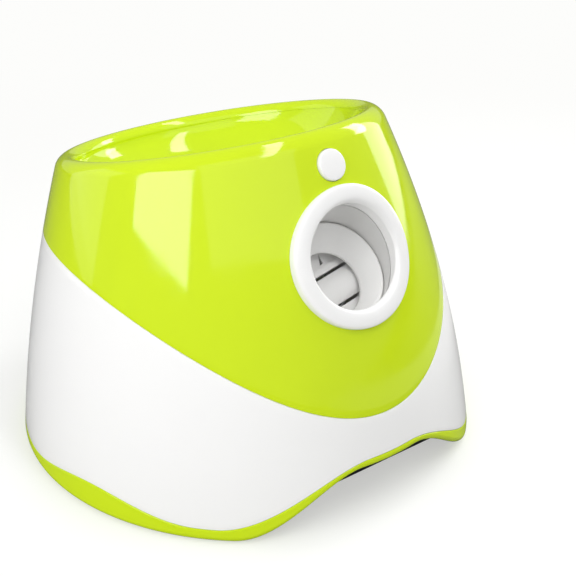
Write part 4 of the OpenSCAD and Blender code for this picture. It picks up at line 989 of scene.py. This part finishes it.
def lamp(name, place, target, size, power, roll):
    """A soft box: a rectangular lamp that faces a point, turned about its own axis."""
    deselect()
    bpy.ops.object.light_add(type="AREA", location=place)
    light = bpy.context.object
    light.name = name
    light.data.shape = "RECTANGLE"
    light.data.size, light.data.size_y = size
    light.data.energy = power
    facing = (Vector(target) - Vector(place)).to_track_quat("-Z", "Y").to_matrix()
    light.rotation_euler = (facing @ Matrix.Rotation(math.radians(roll), 3, "Z")).to_euler()


def around(azimuth, elevation, distance, target):
    """A place at a direction from the front and a height angle, seen from a target."""
    flat = distance * cosd(elevation)
    return (target[0] + flat * sind(azimuth), target[1] - flat * cosd(azimuth),
            target[2] + distance * sind(elevation))


def pale_floor(tone):
    """The floor: plain and pale to the camera. Painted shade makes it darker to mirror rays and to bounced light,
    and a painted reflection adds one pale glowing patch at its right that only mirror rays see.
    """
    deselect()
    bpy.ops.mesh.primitive_plane_add(size=8, location=(0, 0, 0))
    floor = settle(named("studio_floor"))
    f = Finish("floor_pale", tone, roughness=0.9, specular_ior_level=0.1)
    ray = f.tree.nodes.new("ShaderNodeLightPath")
    seen = Signal(f, ray.outputs["Is Camera Ray"])
    mirrored = Signal(f, ray.outputs["Is Glossy Ray"])
    x, y, _ = f.axes()
    far = ((x * x + y * y) ** 0.5).between(0.2, 0.75)
    # Painted shade: the floor's tone drops to 0.62 for bounced light and to 0.16 in reflections, so the shell
    # mirrors a darker floor
    mirror_and_bounce_shade = f.blend(mirrored, f.shade(0.62), f.shade(0.16))
    f.surface(base_color=f.blend(seen, mirror_and_bounce_shade, f.shade(1.0)))
    # Painted reflection: a pale glowing patch on the floor that only mirror rays see, which lays a painted
    # highlight on the lime shell
    painted_reflection_patch = x.between(0.2, 0.26) * (1 - (x + y * 0.3).between(0.355, 0.37))
    glow = f.tree.nodes.new("ShaderNodeEmission")
    glow.inputs[0].default_value = f.shade(1.0)
    glow.inputs[1].default_value = 1.0
    share = f.tree.nodes.new("ShaderNodeMixShader")
    # The floor glows to the camera for its pale ground, and to mirror rays inside the painted reflection patch
    f.tree.links.new((seen * (far * 0.5 + 0.5) + mirrored * painted_reflection_patch * 0.6).socket, share.inputs[0])
    f.tree.links.new(f.shader.outputs[0], share.inputs[1])
    f.tree.links.new(glow.outputs[0], share.inputs[2])
    out = [n for n in f.tree.nodes if n.type == "OUTPUT_MATERIAL"][0]
    f.tree.links.new(share.outputs[0], out.inputs[0])
    floor.data.materials.append(f.material)


def studio_world(context, tone):
    """A background that is pale to the camera and dimmer as light."""
    world = bpy.data.worlds.new("studio")
    context.scene.world = world
    world.use_nodes = True
    tree = world.node_tree
    tree.nodes.clear()
    ray = tree.nodes.new("ShaderNodeLightPath")
    dim = tree.nodes.new("ShaderNodeBackground")
    dim.inputs[0].default_value = (0.97, 0.98, 1.0, 1)
    dim.inputs[1].default_value = 0.4
    full = tree.nodes.new("ShaderNodeBackground")
    full.inputs[0].default_value = (*tone, 1)
    full.inputs[1].default_value = 1.0
    share = tree.nodes.new("ShaderNodeMixShader")
    output = tree.nodes.new("ShaderNodeOutputWorld")
    tree.links.new(ray.outputs["Is Camera Ray"], share.inputs[0])
    tree.links.new(dim.outputs[0], share.inputs[1])
    tree.links.new(full.outputs[0], share.inputs[2])
    tree.links.new(share.outputs[0], output.inputs[0])


def photo_camera(context):
    """The camera at the photograph's place, with the photograph's off-centre crop."""
    az, el = math.radians(CAMERA_AZIMUTH), math.radians(CAMERA_ELEVATION)
    back = Vector((math.sin(az) * math.cos(el), -math.cos(az) * math.cos(el), math.sin(el)))
    right = Vector((math.cos(az), math.sin(az), 0))
    up = back.cross(right)
    place = Vector(CAMERA_TARGET) + back * CAMERA_DISTANCE
    bpy.ops.object.camera_add()
    camera = bpy.context.object
    camera.matrix_world = Matrix.Translation(place) @ Matrix((right, up, back)).transposed().to_4x4()
    camera.data.lens = PHOTO_FOCAL * SENSOR / PHOTO_SIZE
    camera.data.sensor_width = SENSOR
    camera.data.shift_x = (PHOTO_SIZE / 2 - PHOTO_CENTRE[0]) / PHOTO_SIZE
    camera.data.shift_y = (PHOTO_CENTRE[1] - PHOTO_SIZE / 2) / PHOTO_SIZE
    camera.data.clip_start = 0.02
    context.scene.camera = camera


class LAUNCHER_OT_stage(bpy.types.Operator):
    """Pale floor, soft studio light and the camera at the photograph's angle"""
    bl_idname = "launcher.stage"
    bl_label = "Stage"

    def execute(self, context):
        tone = context.scene.launcher_tones.floor
        pale_floor(tone)
        studio_world(context, tone)
        for name, azimuth, elevation, distance, size, power, roll in LAMPS:
            lamp(name, around(azimuth, elevation, distance, LAMP_TARGET), LAMP_TARGET, size, power, roll)
        photo_camera(context)
        context.scene.view_settings.view_transform = "Standard"
        return {"FINISHED"}


class LAUNCHER_PT_panel(bpy.types.Panel):
    """Lists the launcher's pieces and sizes"""
    bl_idname = "LAUNCHER_PT_panel"
    bl_label = "Ball launcher"
    bl_space_type = "VIEW_3D"
    bl_region_type = "UI"
    bl_category = "Launcher"

    def draw(self, context):
        for operator in OPERATORS:
            self.layout.operator(operator.bl_idname)
        scene = context.scene
        for group in (scene.launcher_body, scene.launcher_muzzle, scene.launcher_tones):
            box = self.layout.box()
            for key in group.__annotations__:
                box.prop(group, key)


OPERATORS = (LAUNCHER_OT_stage, LAUNCHER_OT_finishes, LAUNCHER_OT_upper_shell, LAUNCHER_OT_lower_shell,
             LAUNCHER_OT_base_band, LAUNCHER_OT_hopper, LAUNCHER_OT_muzzle_ring, LAUNCHER_OT_button,
             LAUNCHER_OT_springs, LAUNCHER_OT_wiring)
CLASSES = (BodySizes, MuzzleSizes, Tones) + OPERATORS + (LAUNCHER_PT_panel,)


def register():
    for item in CLASSES:
        bpy.utils.register_class(item)
    bpy.types.Scene.launcher_body = bpy.props.PointerProperty(type=BodySizes)
    bpy.types.Scene.launcher_muzzle = bpy.props.PointerProperty(type=MuzzleSizes)
    bpy.types.Scene.launcher_tones = bpy.props.PointerProperty(type=Tones)


def unregister():
    for name in ("launcher_tones", "launcher_muzzle", "launcher_body"):
        delattr(bpy.types.Scene, name)
    for item in reversed(CLASSES):
        bpy.utils.unregister_class(item)


def main():
    register()
    bpy.ops.launcher.stage()
    bpy.ops.launcher.finishes()
    bpy.ops.launcher.upper_shell()
    bpy.ops.launcher.lower_shell()
    bpy.ops.launcher.base_band()
    bpy.ops.launcher.hopper()
    bpy.ops.launcher.muzzle_ring()
    bpy.ops.launcher.button()
    bpy.ops.launcher.springs()
    bpy.ops.launcher.wiring()


if __name__ == "__main__":
    main()
